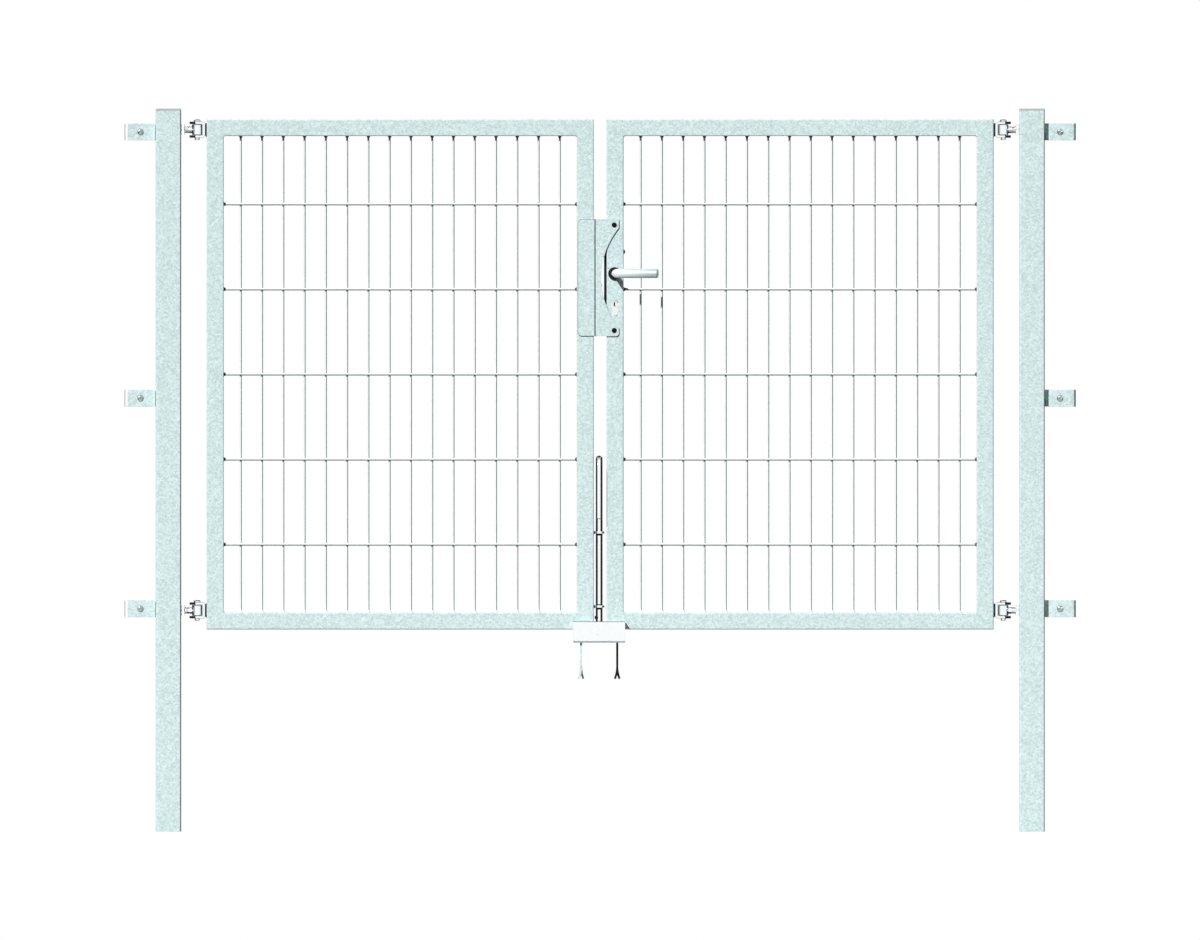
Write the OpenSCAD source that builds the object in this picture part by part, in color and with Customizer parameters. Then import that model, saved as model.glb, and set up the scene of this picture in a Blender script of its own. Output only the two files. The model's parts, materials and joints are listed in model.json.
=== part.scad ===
// Double swing gate: two square posts, two welded tube frames filled with double-wire mesh,
// adjustable eyebolt hinges, a keep with a stop plate, a lever lock, a drop rod and a ground stop.
// X runs along the gate, Y away from the side that shows the lock, Z up.
// The origin is the centre of the left post's foot.

/* [Posts] */
// Clear width between the posts
clear_w = 1970; // [1600:10:2800]
// Height of a post with its cap
post_h = 1700; // [1400:10:2200]
// Side of the square post tube
post_s = 60; // [50:1:80]
// Wall of the post tube
post_wall = 3; // [2:0.5:4]
// Outer corner radius of the post tube
post_r = 4; // [4:0.5:6]
// Thickness of the cap plate
cap_t = 5; // [3:0.5:8]
// Depth of the cap's plug in the tube
plug_h = 18; // [10:1:30]

/* [Leaf frames] */
// Height of a leaf
leaf_h = 1200; // [1000:10:1450]
// Gap between a post and its leaf
side_gap = 60; // [56:1:75]
// Gap between the two leaves
mid_gap = 30; // [30:1:40]
// Drop from the top of the posts to the top of the leaves
top_drop = 25; // [10:1:60]
// Side of the square frame tube
frame_s = 40; // [33:1:50]
// Wall of the frame tube
frame_wall = 2; // [1.5:0.5:3]
// Outer corner radius of the frame tube
frame_r = 3; // [3:0.5:4]

/* [Wire mesh] */
// Diameter of the upright wires
upright_d = 5; // [4:0.5:6]
// Diameter of the paired level wires
level_d = 6; // [5:0.5:8]
// Pitch of the upright wires
upright_pitch = 50; // [40:1:60]
// Pitch of the level wires
level_pitch = 200; // [160:1:200]
// Depth that a weld sinks one wire into the other
weld_sink = 0.4; // [0.3:0.1:0.6]

/* [Hinges] */
// Diameter of the eyebolt's shank
shank_d = 16; // [14:1:18]
// Depth of the shank in the post, from the post's face
shank_in = 28; // [24:1:32]
// Outer diameter of the eye
eye_d = 24; // [22:1:26]
// Height of the eye
eye_h = 25; // [20:1:30]
// Diameter of the hinge pin
pin_d = 12; // [10:0.5:13]
// Diameter of the pin's head
pin_head_d = 16; // [15:1:20]
// Height of the pin's head, and length of its free end
pin_end = 5; // [3:0.5:8]
// Distance from the leaf's edge to the pin
pin_out = 22.5; // [22:0.5:24]
// Drop from the leaf's top to the upper hinge
hinge_drop = 25; // [25:1:60]
// Height of the lower hinge over the leaf's bottom
hinge_up = 45; // [40:1:100]
// Thickness of the clevis plate
clevis_t = 6; // [4:0.5:6]
// Width of the clevis plate
clevis_w = 36; // [30:1:38]
// Thickness of the pad under the clevis
pad_t = 3.5; // [3:0.5:4]
// Height of the pad under the clevis
pad_h = 31; // [24:1:34]
// Width of the pad under the clevis
pad_w = 22; // [16:1:28]
// Gap over and under the eye
eye_gap = 0.5; // [0.3:0.1:0.8]
// Width of the hinge nuts across their flats
nut_af = 24; // [22:0.5:26]
// Thickness of the outer nut
jam_nut_t = 8; // [6:0.5:10]
// Thickness of the nut inside the post
inner_nut_t = 13; // [10:0.5:14]

/* [Fence clamps] */
// Height of a fence clamp
clamp_h = 40; // [30:1:50]
// Reach of a fence clamp from the post
clamp_reach = 73; // [60:1:90]
// Thickness of the clamp's tab and plate
clamp_t = 5; // [4:0.5:6]
// Gap in the clamp for the fence's end wire
clamp_gap = 6; // [5:0.5:8]
// Distance from the post to the clamp's bolt
clamp_bolt_out = 36; // [28:1:40]
// Diameter of the clamp's bolt
clamp_bolt_d = 8; // [6:1:10]
// Height of the lowest clamps over the leaf's bottom
clamp_low = 49; // [30:1:150]
// Height of the middle clamps over the leaf's bottom
clamp_mid = 544; // [400:1:700]
// Drop from the leaf's top to the highest clamps
clamp_drop = 30; // [21:1:150]

/* [Keep and lock] */
// Height of the keep's middle over the leaf's bottom
keep_up = 827; // [600:1:900]
// Height of the keep and its stop plate
keep_h = 275; // [260:1:320]
// Thickness of the keep's plates
keep_t = 3; // [2.5:0.5:4]
// Reach of the keep over the left stile
keep_over = 38; // [28:1:39]
// Reach of the stop plate past the gate's middle
stop_reach = 44; // [42:1:46]
// Gap between the stop plate and the right stile
stop_gap = 1; // [0.5:0.1:2]
// Radius of the hand recess in the stop plate
recess_r = 187; // [170:1:195]
// Recess edge past the gate's middle
recess_x = 2.4; // [1:0.1:5]
// Height of the window in the keep's rear lip
window_h = 50; // [30:1:60]
// Diameter of a rubber buffer
buffer_d = 12; // [10:1:13]
// Distance of a buffer from the keep's middle
buffer_off = 124; // [122:1:126]
// Height of the spindle over the keep's middle
spindle_up = 10; // [0:1:20]
// Distance from the stile's edge to the spindle
backset = 18.5; // [17:0.5:22]
// Distance from the spindle to the cylinder
cylinder_drop = 72; // [60:1:72]
// Height of the lock's faceplate
face_h = 131; // [126:1:150]
// Width of the lock's faceplate
face_w = 24; // [20:1:28]
// Thickness of the lock's faceplate
face_t = 6; // [3:0.5:7]

/* [Lever] */
// Diameter of the lever's bar
lever_d = 21.6; // [18:0.1:24]
// Length of the bar from the spindle to its end
lever_len = 104; // [90:1:130]
// Diameter of the neck at the rosette
neck_d = 12.6; // [12:0.1:18]
// Length of the neck from the rosette to the bend
neck_len = 44; // [35:1:55]
// Radius of the bend's middle line
lever_bend = 18; // [15:1:24]
// Rounding of the lever's flat end
lever_end_r = 3; // [2:0.5:5]
// Diameter of the rosette
rosette_d = 29.6; // [24:0.1:30]
// Thickness of the rosette
rosette_t = 6; // [4:0.5:8]
// Side of the square spindle
spindle_s = 8; // [7:0.5:8]

/* [Drop rod] */
// Diameter of the rod
rod_d = 16; // [13:0.5:17]
// Distance of the rod from the gate's middle, to the left
rod_left = 2.5; // [1:0.5:3]
// Height of the rod's top over the leaf's bottom
rod_top = 409; // [350:1:600]
// Radius of the hairpin's middle line
hairpin_r = 20; // [16:1:30]
// Length of the hairpin's free leg
leg_len = 121; // [60:1:160]
// Height of the upper guide over the leaf's bottom
guide_high = 228; // [180:1:240]
// Height of the lower guide over the leaf's bottom
guide_low = 54; // [50:1:100]
// Thickness of a guide
guide_t = 5; // [4:0.5:8]
// Clearance of the rod over the ground plate when the rod is raised
rod_clear = 5; // [4:0.5:8]

/* [Ground stop] */
// Clearance from the ground plate to the leaf's bottom
ground_gap = 27; // [20:1:45]
// Width of the ground plate and its hood
stop_w = 122; // [110:1:150]
// Depth of the ground plate
stop_depth = 110; // [100:1:130]
// Thickness of the ground plate and its hood
stop_t = 4; // [3:0.5:5]
// Height of the hood over the ground plate
hood_h = 46; // [40:1:70]
// Depth of the hood
hood_depth = 38; // [25:1:40]
// Diameter of the rod's hole
rod_hole_d = 26; // [24:1:28]
// Distance of an anchor from the rod's hole
anchor_off = 42.5; // [35:0.5:50]
// Length of an anchor below the plate
anchor_len = 86; // [70:1:120]
// Length of an anchor's split end
split_len = 30; // [20:1:40]
// Width of an anchor
anchor_w = 25; // [20:1:30]
// Thickness of an anchor
anchor_t = 5; // [4:0.5:6]
// Splay of the split end
splay = 12; // [8:1:20]

/* [Hidden] */
$fn = 64;

post_half = post_s / 2;
middle = post_half + clear_w / 2;
leaf_w = (clear_w - mid_gap) / 2 - side_gap;
leaf_x = post_half + side_gap;
leaf_z = post_h - top_drop - leaf_h;
frame_half = frame_s / 2;
stile_left = middle - mid_gap / 2;
stile_right = middle + mid_gap / 2;
tube_len = post_h - cap_t;
plug_fit = 0.3;
arc_steps = 6;
past = 1;

inner_w = leaf_w - 2 * frame_s;
inner_h = leaf_h - 2 * frame_s;
least_margin = 15;
upright_count = floor((inner_w - 2 * least_margin) / upright_pitch) + 1;
level_count = floor(inner_h / level_pitch);
level_y = (upright_d + level_d) / 2 - weld_sink;

pin_x = leaf_x - pin_out;
hinge_z = [leaf_z + hinge_up, leaf_z + leaf_h - hinge_drop];
arm_in = eye_h / 2 + eye_gap;
arm_out = arm_in + clevis_t;
clevis_back = pin_out - pad_t;
clevis_inner_bend = 1.5;
clevis_bend = clevis_t + clevis_inner_bend;
pin_fit = 0.05;
eye_fit = 0.1;
thread_fit = 0.05;
shank_hole_fit = 0.25;

clamp_z = [leaf_z + clamp_low, leaf_z + clamp_mid, leaf_z + leaf_h - clamp_drop];
clamp_inner_bend = 3;
clamp_bend = clamp_t + clamp_inner_bend;
clamp_post_gap = 1;
clamp_head_rim = 3.5;
clamp_head_h = 4.4;
clamp_nut_af = 13 / 8 * clamp_bolt_d;
clamp_nut_t = 0.8 * clamp_bolt_d;
bolt_tail = 2;
bolt_hole_fit = 0.3;

keep_z = leaf_z + keep_up;
keep_corner = 10;
stop_corner = 7;
stop_y = -frame_half - stop_gap;
window_up = 11.5;
lip_gap = 5;
lip_x = stile_right - face_t - lip_gap;
buffer_in = 18;
buffer_x = stile_right + buffer_in;
buffer_stem_d = 8;
buffer_head = 2;
buffer_rest = 0.3;
spindle_x = stile_right + backset;
spindle_z = keep_z + spindle_up;
cylinder_z = spindle_z - cylinder_drop;
face_up = 2.5;
face_z = keep_z + face_up;
case_depth = 32;
case_w = 16;
case_short = 8;
case_h = face_h - case_short;
case_fit = 0.3;
cylinder_r = 8.5;
cylinder_slot = 10;
cylinder_tall = 33;
cylinder_out = 4;
hub_d = 16;
hub_fit = 0.05;
spindle_hole_d = 18;
screw_up = 61;
screw_d = 6;
screw_head_d = 10.6;
screw_head_h = 3.5;
screw_fit = 0.1;
rose_fit = 0.5;

lever_gap = 0.3;
lever_turn = 77;
lever_steps = 7;
flare_turn = 44;
end_steps = 4;
lever_sides = 24;
lever_y = frame_half + rosette_t + lever_gap;

rod_x = middle - rod_left;
rod_r = rod_d / 2;
rod_fit = 0.1;
ground_top = leaf_z - ground_gap;
rod_tip = ground_top + rod_clear;
tip_h = 4;
bend_z = leaf_z + rod_top - rod_r - hairpin_r;
guide_rim = 4;
guide_r = rod_r + guide_rim;
nose_up = 28.5;
nose_z = leaf_z + nose_up;
nose_d = 8;
nose_out = 4;
hood_y = -frame_half - stop_gap;
hood_bend = stop_t + 1;
plate_rear = 45;
anchor_edge = 10;

// ---- outlines ----

// Points of a quarter arc that starts at the angle from
function arc(cx, cy, r, from, steps = arc_steps, sweep = 90) =
    r == 0 ? [[cx, cy]] : [for (i = [0:steps]) let (a = from + sweep * i / steps) [cx + r * cos(a), cy + r * sin(a)]];

// Rectangle with its own radius at each corner, from the upper right one, counter-clockwise
function rounded(x0, x1, y0, y1, r) = concat(
    arc(x1 - r[0], y1 - r[0], r[0], 0), arc(x0 + r[1], y1 - r[1], r[1], 90),
    arc(x0 + r[2], y0 + r[2], r[2], 180), arc(x1 - r[3], y0 + r[3], r[3], 270));

// Euro-profile outline: a circle over a narrower slot with a round foot
function profile(grow) = let (
    r = cylinder_r + grow,
    s = cylinder_slot / 2 + grow,
    foot = -(cylinder_tall - cylinder_r - cylinder_slot / 2),
    a = asin(s / r)) concat(
        arc(0, 0, r, -90 + a, 24, 360 - 2 * a),
        arc(0, foot, s, 180, 12, 180));

// ---- shapes that repeat ----

// Mirror image across the gate's middle
module at_right() {
    translate([2 * middle, 0, 0]) mirror([1, 0, 0]) children();
}

// Plate with an outline in X and Z, from y to y + t
module upright_plate(points, y, t) {
    translate([0, y + t, 0]) rotate([90, 0, 0]) linear_extrude(t) polygon(points);
}

module rounded_square(side, r) {
    polygon(rounded(-side / 2, side / 2, -side / 2, side / 2, [r, r, r, r]));
}

// Square tube along Z
module square_tube(side, wall, r, len) {
    linear_extrude(len) difference() {
        rounded_square(side, r);
        rounded_square(side - 2 * wall, r - wall / 2);
    }
}

// Round hole or bar along Y
module along_y(d, y0, y1) {
    translate([0, y1, 0]) rotate([90, 0, 0]) cylinder(d = d, h = y1 - y0);
}

// Round hole or bar along X
module along_x(d, x0, x1) {
    translate([x0, 0, 0]) rotate([0, 90, 0]) cylinder(d = d, h = x1 - x0);
}

// Frame tube with 45-degree ends: its outer face is at x = 0 and it runs from z = 0 to z = len
module mitred_tube(len) {
    difference() {
        translate([frame_half, 0, 0]) square_tube(frame_s, frame_wall, frame_r, len);
        mitre_cut();
        translate([0, 0, len]) mirror([0, 0, 1]) mitre_cut();
    }
}

// All that lies under the plane z = x, out to two tube sides
module mitre_cut() {
    rotate([0, -45, 0]) translate([-2 * frame_s, -frame_s, -2 * frame_s]) cube([4 * frame_s, 2 * frame_s, 2 * frame_s]);
}

module rail(z_top) {
    if (z_top) translate([0, 0, leaf_h]) mirror([0, 0, 1]) mirror([1, 0, -1]) mitred_tube(leaf_w);
    else mirror([1, 0, -1]) mitred_tube(leaf_w);
}

module at_leaf() {
    translate([leaf_x, 0, leaf_z]) children();
}

// Straight wire with eight sides and flats to the front and back
module wire(d, len) {
    rotate([0, 0, 22.5]) cylinder(d = d / cos(22.5), h = len, $fn = 8);
}

// Hexagonal nut along X with a clear bore
module hex_nut(af, bore, t) {
    difference() {
        rotate([0, 90, 0]) cylinder(d = af / cos(30), h = t, $fn = 6);
        along_x(bore, -past, t + past);
    }
}

// ---- posts ----

module post() {
    color("#d3e1e0") difference() {
        square_tube(post_s, post_wall, post_r, tube_len);
        for (z = hinge_z) translate([0, 0, z]) along_x(shank_d + 2 * shank_hole_fit, 0, post_s);
    }
}

module post_cap() {
    plug = post_s - 2 * post_wall - 2 * plug_fit;
    color("#b9c4c4") union() {
        translate([0, 0, tube_len]) linear_extrude(cap_t) rounded_square(post_s, post_r);
        translate([0, 0, tube_len - plug_h]) linear_extrude(plug_h) difference() {
            rounded_square(plug, post_r - post_wall / 2);
            square(plug - 2 * post_wall, center = true);
        }
    }
}

// Flat tabs that are welded to the post's outer side, behind the fence's end wire
module fence_tabs() {
    color("#d3e1e0") for (z = clamp_z) difference() {
        translate([-post_half - clamp_reach, clamp_gap / 2, z - clamp_h / 2]) cube([clamp_reach, clamp_t, clamp_h]);
        translate([-post_half - clamp_bolt_out, 0, z])
            along_y(clamp_bolt_d + 2 * bolt_hole_fit, -clamp_reach, clamp_reach);
    }
}

// Bent plates that grip the fence's end wire against the tabs
module fence_clamps() {
    end_x = -post_half - clamp_reach;
    front = -clamp_gap / 2 - clamp_t;
    free_x = -post_half - clamp_post_gap;
    outline = concat(
        [[free_x, front], [free_x, front + clamp_t], [end_x + clamp_t, front + clamp_t],
            [end_x + clamp_t, clamp_gap / 2], [end_x, clamp_gap / 2]],
        arc(end_x + clamp_bend, front + clamp_bend, clamp_bend, 180));
    color("#d3e1e0") for (z = clamp_z) difference() {
        translate([0, 0, z - clamp_h / 2]) linear_extrude(clamp_h) polygon(outline);
        translate([-post_half - clamp_bolt_out, 0, z])
            along_y(clamp_bolt_d + 2 * bolt_hole_fit, -clamp_reach, clamp_reach);
    }
}

// Button-head bolts with their nuts behind the tabs
module fence_bolts() {
    front = -clamp_gap / 2 - clamp_t;
    back = clamp_gap / 2 + clamp_t;
    color("#e6e8ea") for (z = clamp_z) translate([-post_half - clamp_bolt_out, 0, z]) {
        along_y(clamp_bolt_d + 2 * clamp_head_rim, front - clamp_head_h, front);
        along_y(clamp_bolt_d, front, back + clamp_nut_t + bolt_tail);
        translate([0, back, 0]) rotate([0, 0, 90])
            hex_nut(clamp_nut_af, clamp_bolt_d + 2 * thread_fit, clamp_nut_t);
    }
}

// ---- hinges ----

module hinge_eyebolts() {
    color("#e6e8ea") for (z = hinge_z) translate([0, 0, z]) difference() {
        union() {
            translate([pin_x, 0, -eye_h / 2]) cylinder(d = eye_d, h = eye_h);
            along_x(shank_d, post_half - shank_in, pin_x - pin_d / 2);
        }
        translate([pin_x, 0, -eye_h]) cylinder(d = pin_d + 2 * eye_fit, h = 2 * eye_h);
    }
}

// A jam nut on the post's face and a nut inside the post at each eyebolt
module hinge_nuts() {
    bore = shank_d + 2 * thread_fit;
    color("#e6e8ea") for (z = hinge_z) {
        translate([post_half, 0, z]) hex_nut(nut_af, bore, jam_nut_t);
        translate([post_half - post_wall - inner_nut_t, 0, z]) hex_nut(nut_af, bore, inner_nut_t);
    }
}

// Clevises bent from plate, on pads that are welded to the leaf
module clevises() {
    plan = concat(arc(0, 0, clevis_w / 2, 90, 24, 180), [[pin_out, -clevis_w / 2], [pin_out, clevis_w / 2]]);
    side = concat(
        [[-clevis_w / 2, arm_in], [-clevis_w / 2, arm_out]],
        arc(clevis_back - clevis_bend, arm_out - clevis_bend, clevis_bend, 90, arc_steps, -90),
        arc(clevis_back - clevis_bend, clevis_bend - arm_out, clevis_bend, 0, arc_steps, -90),
        [[-clevis_w / 2, -arm_out], [-clevis_w / 2, -arm_in], [clevis_back - clevis_t, -arm_in],
            [clevis_back - clevis_t, arm_in]]);
    color("#e6e8ea") for (z = hinge_z) translate([pin_x, 0, z]) difference() {
        union() {
            intersection() {
                upright_plate(side, -clevis_w / 2, clevis_w);
                translate([0, 0, -arm_out]) linear_extrude(2 * arm_out) polygon(plan);
            }
            translate([clevis_back, -pad_w / 2, -pad_h / 2]) cube([pad_t, pad_w, pad_h]);
        }
        translate([0, 0, -2 * arm_out]) cylinder(d = pin_d + 2 * pin_fit, h = 4 * arm_out);
    }
}

module hinge_pins() {
    color("#e6e8ea") for (z = hinge_z) translate([pin_x, 0, z]) {
        translate([0, 0, -arm_out - pin_end]) cylinder(d = pin_d, h = 2 * arm_out + pin_end);
        translate([0, 0, arm_out]) cylinder(d = pin_head_d, h = pin_end);
    }
}

// ---- leaves ----

module hinge_stile() {
    color("#d3e1e0") at_leaf() mitred_tube(leaf_h);
}

module meeting_stile() {
    color("#d3e1e0") at_leaf() translate([leaf_w, 0, 0]) mirror([1, 0, 0]) mitred_tube(leaf_h);
}

module top_rail() {
    color("#d3e1e0") at_leaf() rail(true);
}

module bottom_rail() {
    color("#d3e1e0") at_leaf() rail(false);
}

// Upright wires between two level wires at each row, welded where they cross
module mesh() {
    first_x = leaf_w / 2 - (upright_count - 1) * upright_pitch / 2;
    first_z = leaf_h / 2 - (level_count - 1) * level_pitch / 2;
    color("#c3d2d1") at_leaf() union() {
        for (i = [0:upright_count - 1])
            translate([first_x + i * upright_pitch, 0, frame_s]) wire(upright_d, inner_h);
        for (j = [0:level_count - 1], side = [-1, 1])
            translate([frame_s, side * level_y, first_z + j * level_pitch])
                rotate([0, 90, 0]) wire(level_d, inner_w);
    }
}

// ---- keep and stop plate on the left leaf ----

// Angle on the left stile: a flange over its face and a web along its side
module keep() {
    front = -frame_half - keep_t;
    web = concat(
        [[stile_left, -frame_half], [stile_left, front]],
        arc(stile_left, front + keep_t, keep_t, 270),
        [[stile_left + keep_t, frame_half], [stile_left, frame_half]]);
    face = rounded(stile_left - keep_over, stile_left, keep_z - keep_h / 2, keep_z + keep_h / 2,
        [0, keep_corner, keep_corner, 0]);
    color("#d3e1e0") union() {
        upright_plate(face, front, keep_t);
        translate([0, 0, keep_z - keep_h / 2]) linear_extrude(keep_h) polygon(web);
    }
}

// Channel against the keep's web: a stop plate in front of the right stile, and a lip behind the lock
module stop_plate() {
    web_x = stile_left + keep_t;
    front = stop_y - keep_t;
    back = frame_half;
    section = concat(
        arc(web_x + keep_t, front + keep_t, keep_t, 180),
        [[web_x + keep_t, stop_y], [web_x + keep_t, back - keep_t], [lip_x, back - keep_t],
            [lip_x, back], [web_x, back]]);
    face = rounded(web_x + keep_t, middle + stop_reach, keep_z - keep_h / 2, keep_z + keep_h / 2,
        [0, 0, 0, stop_corner]);
    color("#d3e1e0") difference() {
        union() {
            upright_plate(face, front, keep_t);
            translate([0, 0, keep_z - keep_h / 2]) linear_extrude(keep_h) polygon(section);
        }
        translate([middle + recess_x + recess_r, 0, keep_z]) along_y(2 * recess_r, front - past, stop_y + past);
        translate([web_x + keep_t, back - 2 * keep_t, keep_z - window_h / 2 + window_up])
            cube([mid_gap, 3 * keep_t, window_h]);
        for (side = [-1, 1]) translate([buffer_x, 0, keep_z + side * buffer_off])
            along_y(buffer_stem_d + 2 * screw_fit, front - past, stop_y + past);
    }
}

// Rubber buttons through the stop plate, which meet the right stile when it closes
module stop_buffers() {
    front = stop_y - keep_t;
    color("#161616") for (side = [-1, 1]) translate([buffer_x, 0, keep_z + side * buffer_off]) union() {
        along_y(buffer_d, front - buffer_head, front);
        along_y(buffer_stem_d, front, -frame_half - buffer_rest);
    }
}

// ---- drop rod ----

module rod_guides() {
    color("#e6e8ea") for (h = [guide_low, guide_high]) translate([0, 0, leaf_z + h - guide_t / 2]) difference() {
        union() {
            translate([rod_x, 0, 0]) cylinder(r = guide_r, h = guide_t);
            translate([stile_left, -rod_r, 0]) cube([rod_x - stile_left, rod_d, guide_t]);
        }
        translate([rod_x, 0, -past]) cylinder(r = rod_r + rod_fit, h = guide_t + 2 * past);
    }
}

// Round rod with a hairpin top, a free leg in front and a nose under the lower guide
module drop_rod() {
    color("#e6e8ea") translate([rod_x, 0, 0]) union() {
        translate([0, 0, rod_tip]) cylinder(r1 = rod_r - tip_h / 2, r2 = rod_r, h = tip_h);
        translate([0, 0, rod_tip + tip_h]) cylinder(r = rod_r, h = bend_z - rod_tip - tip_h);
        translate([0, -hairpin_r, bend_z]) rotate([0, -90, 0]) rotate([0, 0, -90])
            rotate_extrude(angle = 180) translate([hairpin_r, 0]) circle(r = rod_r);
        translate([0, -2 * hairpin_r, bend_z - leg_len]) cylinder(r = rod_r, h = leg_len);
        translate([0, 0, nose_z]) rotate([0, 0, -135]) rotate([0, 90, 0]) cylinder(d = nose_d, h = rod_r + nose_out);
    }
}

// ---- ground stop ----

module ground_plate() {
    color("#e6e8ea") difference() {
        translate([rod_x - stop_w / 2, plate_rear - stop_depth, ground_top - stop_t])
            cube([stop_w, stop_depth, stop_t]);
        translate([rod_x, 0, ground_top - 2 * stop_t]) cylinder(d = rod_hole_d, h = 3 * stop_t);
    }
}

// Hood bent from plate: its rear wall stops both leaves
module ground_hood() {
    outer = concat([[hood_y, 0]], arc(hood_y - hood_bend, hood_h - hood_bend, hood_bend, 0),
        arc(hood_y - hood_depth + hood_bend, hood_h - hood_bend, hood_bend, 90),
        [[hood_y - hood_depth, 0], [hood_y - hood_depth + stop_t, 0],
            [hood_y - hood_depth + stop_t, hood_h - stop_t], [hood_y - stop_t, hood_h - stop_t], [hood_y - stop_t, 0]]);
    color("#e6e8ea") translate([rod_x - stop_w / 2, 0, ground_top])
        rotate([90, 0, 90]) linear_extrude(stop_w) polygon(outer);
}

// Fishtail anchors for the concrete, one near the front edge and one near the rear edge
module ground_anchors() {
    straight = anchor_len - split_len;
    front_y = plate_rear - stop_depth + anchor_edge;
    rear_y = plate_rear - anchor_edge - anchor_w;
    color("#e6e8ea") for (side = [-1, 1])
        translate([rod_x + side * anchor_off, side < 0 ? front_y : rear_y, ground_top - stop_t - straight]) union() {
            translate([-anchor_t / 2, 0, 0]) cube([anchor_t, anchor_w, straight]);
            for (half = [0, 1]) translate([0, half * anchor_w / 2, 0]) rotate([0, half == 0 ? splay : -splay, 0])
                translate([-anchor_t / 2, 0, -split_len]) cube([anchor_t, anchor_w / 2, split_len + past]);
        }
}

// ---- lock on the right leaf ----

module right_meeting_stile() {
    color("#d3e1e0") difference() {
        at_right() meeting_stile();
        translate([stile_right - past, -case_w / 2 - case_fit, face_z - case_h / 2 - case_fit])
            cube([frame_wall + 2 * past, case_w + 2 * case_fit, case_h + 2 * case_fit]);
        translate([spindle_x, 0, spindle_z]) along_y(spindle_hole_d, -frame_s, frame_s);
        translate([spindle_x, 0, cylinder_z]) upright_plate(profile(case_fit), -frame_s, 2 * frame_s);
        translate([stile_right, 0, keep_z + screw_up]) along_x(screw_d + 2 * screw_fit, frame_half, frame_s + past);
    }
}

module lock_faceplate() {
    color("#121212") translate([stile_right - face_t, -face_w / 2, face_z - face_h / 2]) cube([face_t, face_w, face_h]);
}

// Case in the stile, with the follower's bearing and the cylinder's hole
module lock_case() {
    color("#9aa3a6") difference() {
        translate([stile_right, -case_w / 2, face_z - case_h / 2]) cube([case_depth, case_w, case_h]);
        translate([spindle_x, 0, spindle_z]) along_y(hub_d + 2 * hub_fit, -case_w, case_w);
        translate([spindle_x, 0, cylinder_z]) upright_plate(profile(case_fit / 2), -case_w, 2 * case_w);
    }
}

module lock_cylinder() {
    color("#d9dcdc") translate([spindle_x, 0, cylinder_z])
        upright_plate(profile(0), -frame_half - cylinder_out, frame_s + 2 * cylinder_out);
}

// Screw through the stile's mesh side into the case
module lock_screw() {
    color("#3a3d3e") translate([stile_right, 0, keep_z + screw_up]) union() {
        along_x(screw_head_d, frame_s, frame_s + screw_head_h);
        along_x(screw_d, case_depth, frame_s);
    }
}

// Plain round roses on both faces of the stile
module rosettes() {
    color("#161616") for (side = [0, 1]) mirror([0, side, 0]) translate([spindle_x, 0, spindle_z]) difference() {
        along_y(rosette_d, -frame_half - rosette_t, -frame_half);
        along_y(spindle_s * sqrt(2) + 2 * rose_fit, -frame_s, 0);
    }
}

// ---- lever handle ----

// Stations along the lever's middle line, each [x, y, heading, radius]: a thin neck out from the rose, a bend that
// widens to the grip, the grip leaning a little further out, and a flat end with a rounded edge
function lever_stations(r) = let (
    bend_y = -lever_y - neck_len,
    lean = lever_turn - 90,
    bend_end = [lever_bend * (1 - cos(lever_turn)), bend_y - lever_bend * sin(lever_turn)],
    flat_r = r - lever_end_r,
    grip = (lever_len - lever_end_r - bend_end[0] + flat_r * sin(lean)) / cos(lean)) concat(
        [[0, -lever_y, -90, neck_d / 2]],
        [for (i = [0:lever_steps]) let (t = lever_turn * i / lever_steps)
            [lever_bend * (1 - cos(t)), bend_y - lever_bend * sin(t), t - 90,
                min(r, neck_d / 2 + (r - neck_d / 2) * t / flare_turn)]],
        [for (i = [0:end_steps]) let (a = 90 * i / end_steps, out = grip + lever_end_r * sin(a))
            [bend_end[0] + out * cos(lean), bend_end[1] + out * sin(lean), lean, flat_r + lever_end_r * cos(a)]]);

module lever() {
    stations = lever_stations(lever_d / 2);
    points = [for (s = stations, j = [0:lever_sides - 1]) let (a = 360 * j / lever_sides)
        [s[0] - s[3] * cos(a) * sin(s[2]), s[1] + s[3] * cos(a) * cos(s[2]), s[3] * sin(a)]];
    last = (len(stations) - 1) * lever_sides;
    faces = concat(
        [[for (j = [0:lever_sides - 1]) j]],
        [for (i = [0:len(stations) - 2], j = [0:lever_sides - 1]) let (k = (j + 1) % lever_sides, n = i * lever_sides)
            [n + k, n + j, n + j + lever_sides, n + k + lever_sides]],
        [[for (j = [lever_sides - 1:-1:0]) last + j]]);
    color("#dfe3e4") translate([spindle_x, 0, spindle_z]) polyhedron(points = points, faces = faces);
}

// Square bar through both roses, with the follower's hub in the lock case
module spindle() {
    color("#9aa3a6") translate([spindle_x, 0, spindle_z]) union() {
        translate([-spindle_s / 2, -lever_y, -spindle_s / 2]) cube([spindle_s, 2 * lever_y, spindle_s]);
        along_y(hub_d, -case_w / 2, case_w / 2);
    }
}

post();  // post_left
at_right() post();  // post_right
post_cap();  // post_cap_left
at_right() post_cap();  // post_cap_right
fence_tabs();  // fence_tabs_left
at_right() fence_tabs();  // fence_tabs_right
fence_clamps();  // fence_clamps_left
at_right() fence_clamps();  // fence_clamps_right
fence_bolts();  // fence_bolts_left
at_right() fence_bolts();  // fence_bolts_right
hinge_eyebolts();  // hinge_eyebolts_left
at_right() hinge_eyebolts();  // hinge_eyebolts_right
hinge_nuts();  // hinge_nuts_left
at_right() hinge_nuts();  // hinge_nuts_right
ground_plate();
ground_hood();
ground_anchors();
hinge_stile();  // left_hinge_stile
meeting_stile();  // left_meeting_stile
top_rail();  // left_top_rail
bottom_rail();  // left_bottom_rail
mesh();  // left_mesh
clevises();  // left_clevises
hinge_pins();  // left_hinge_pins
keep();
stop_plate();
stop_buffers();
rod_guides();
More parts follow.
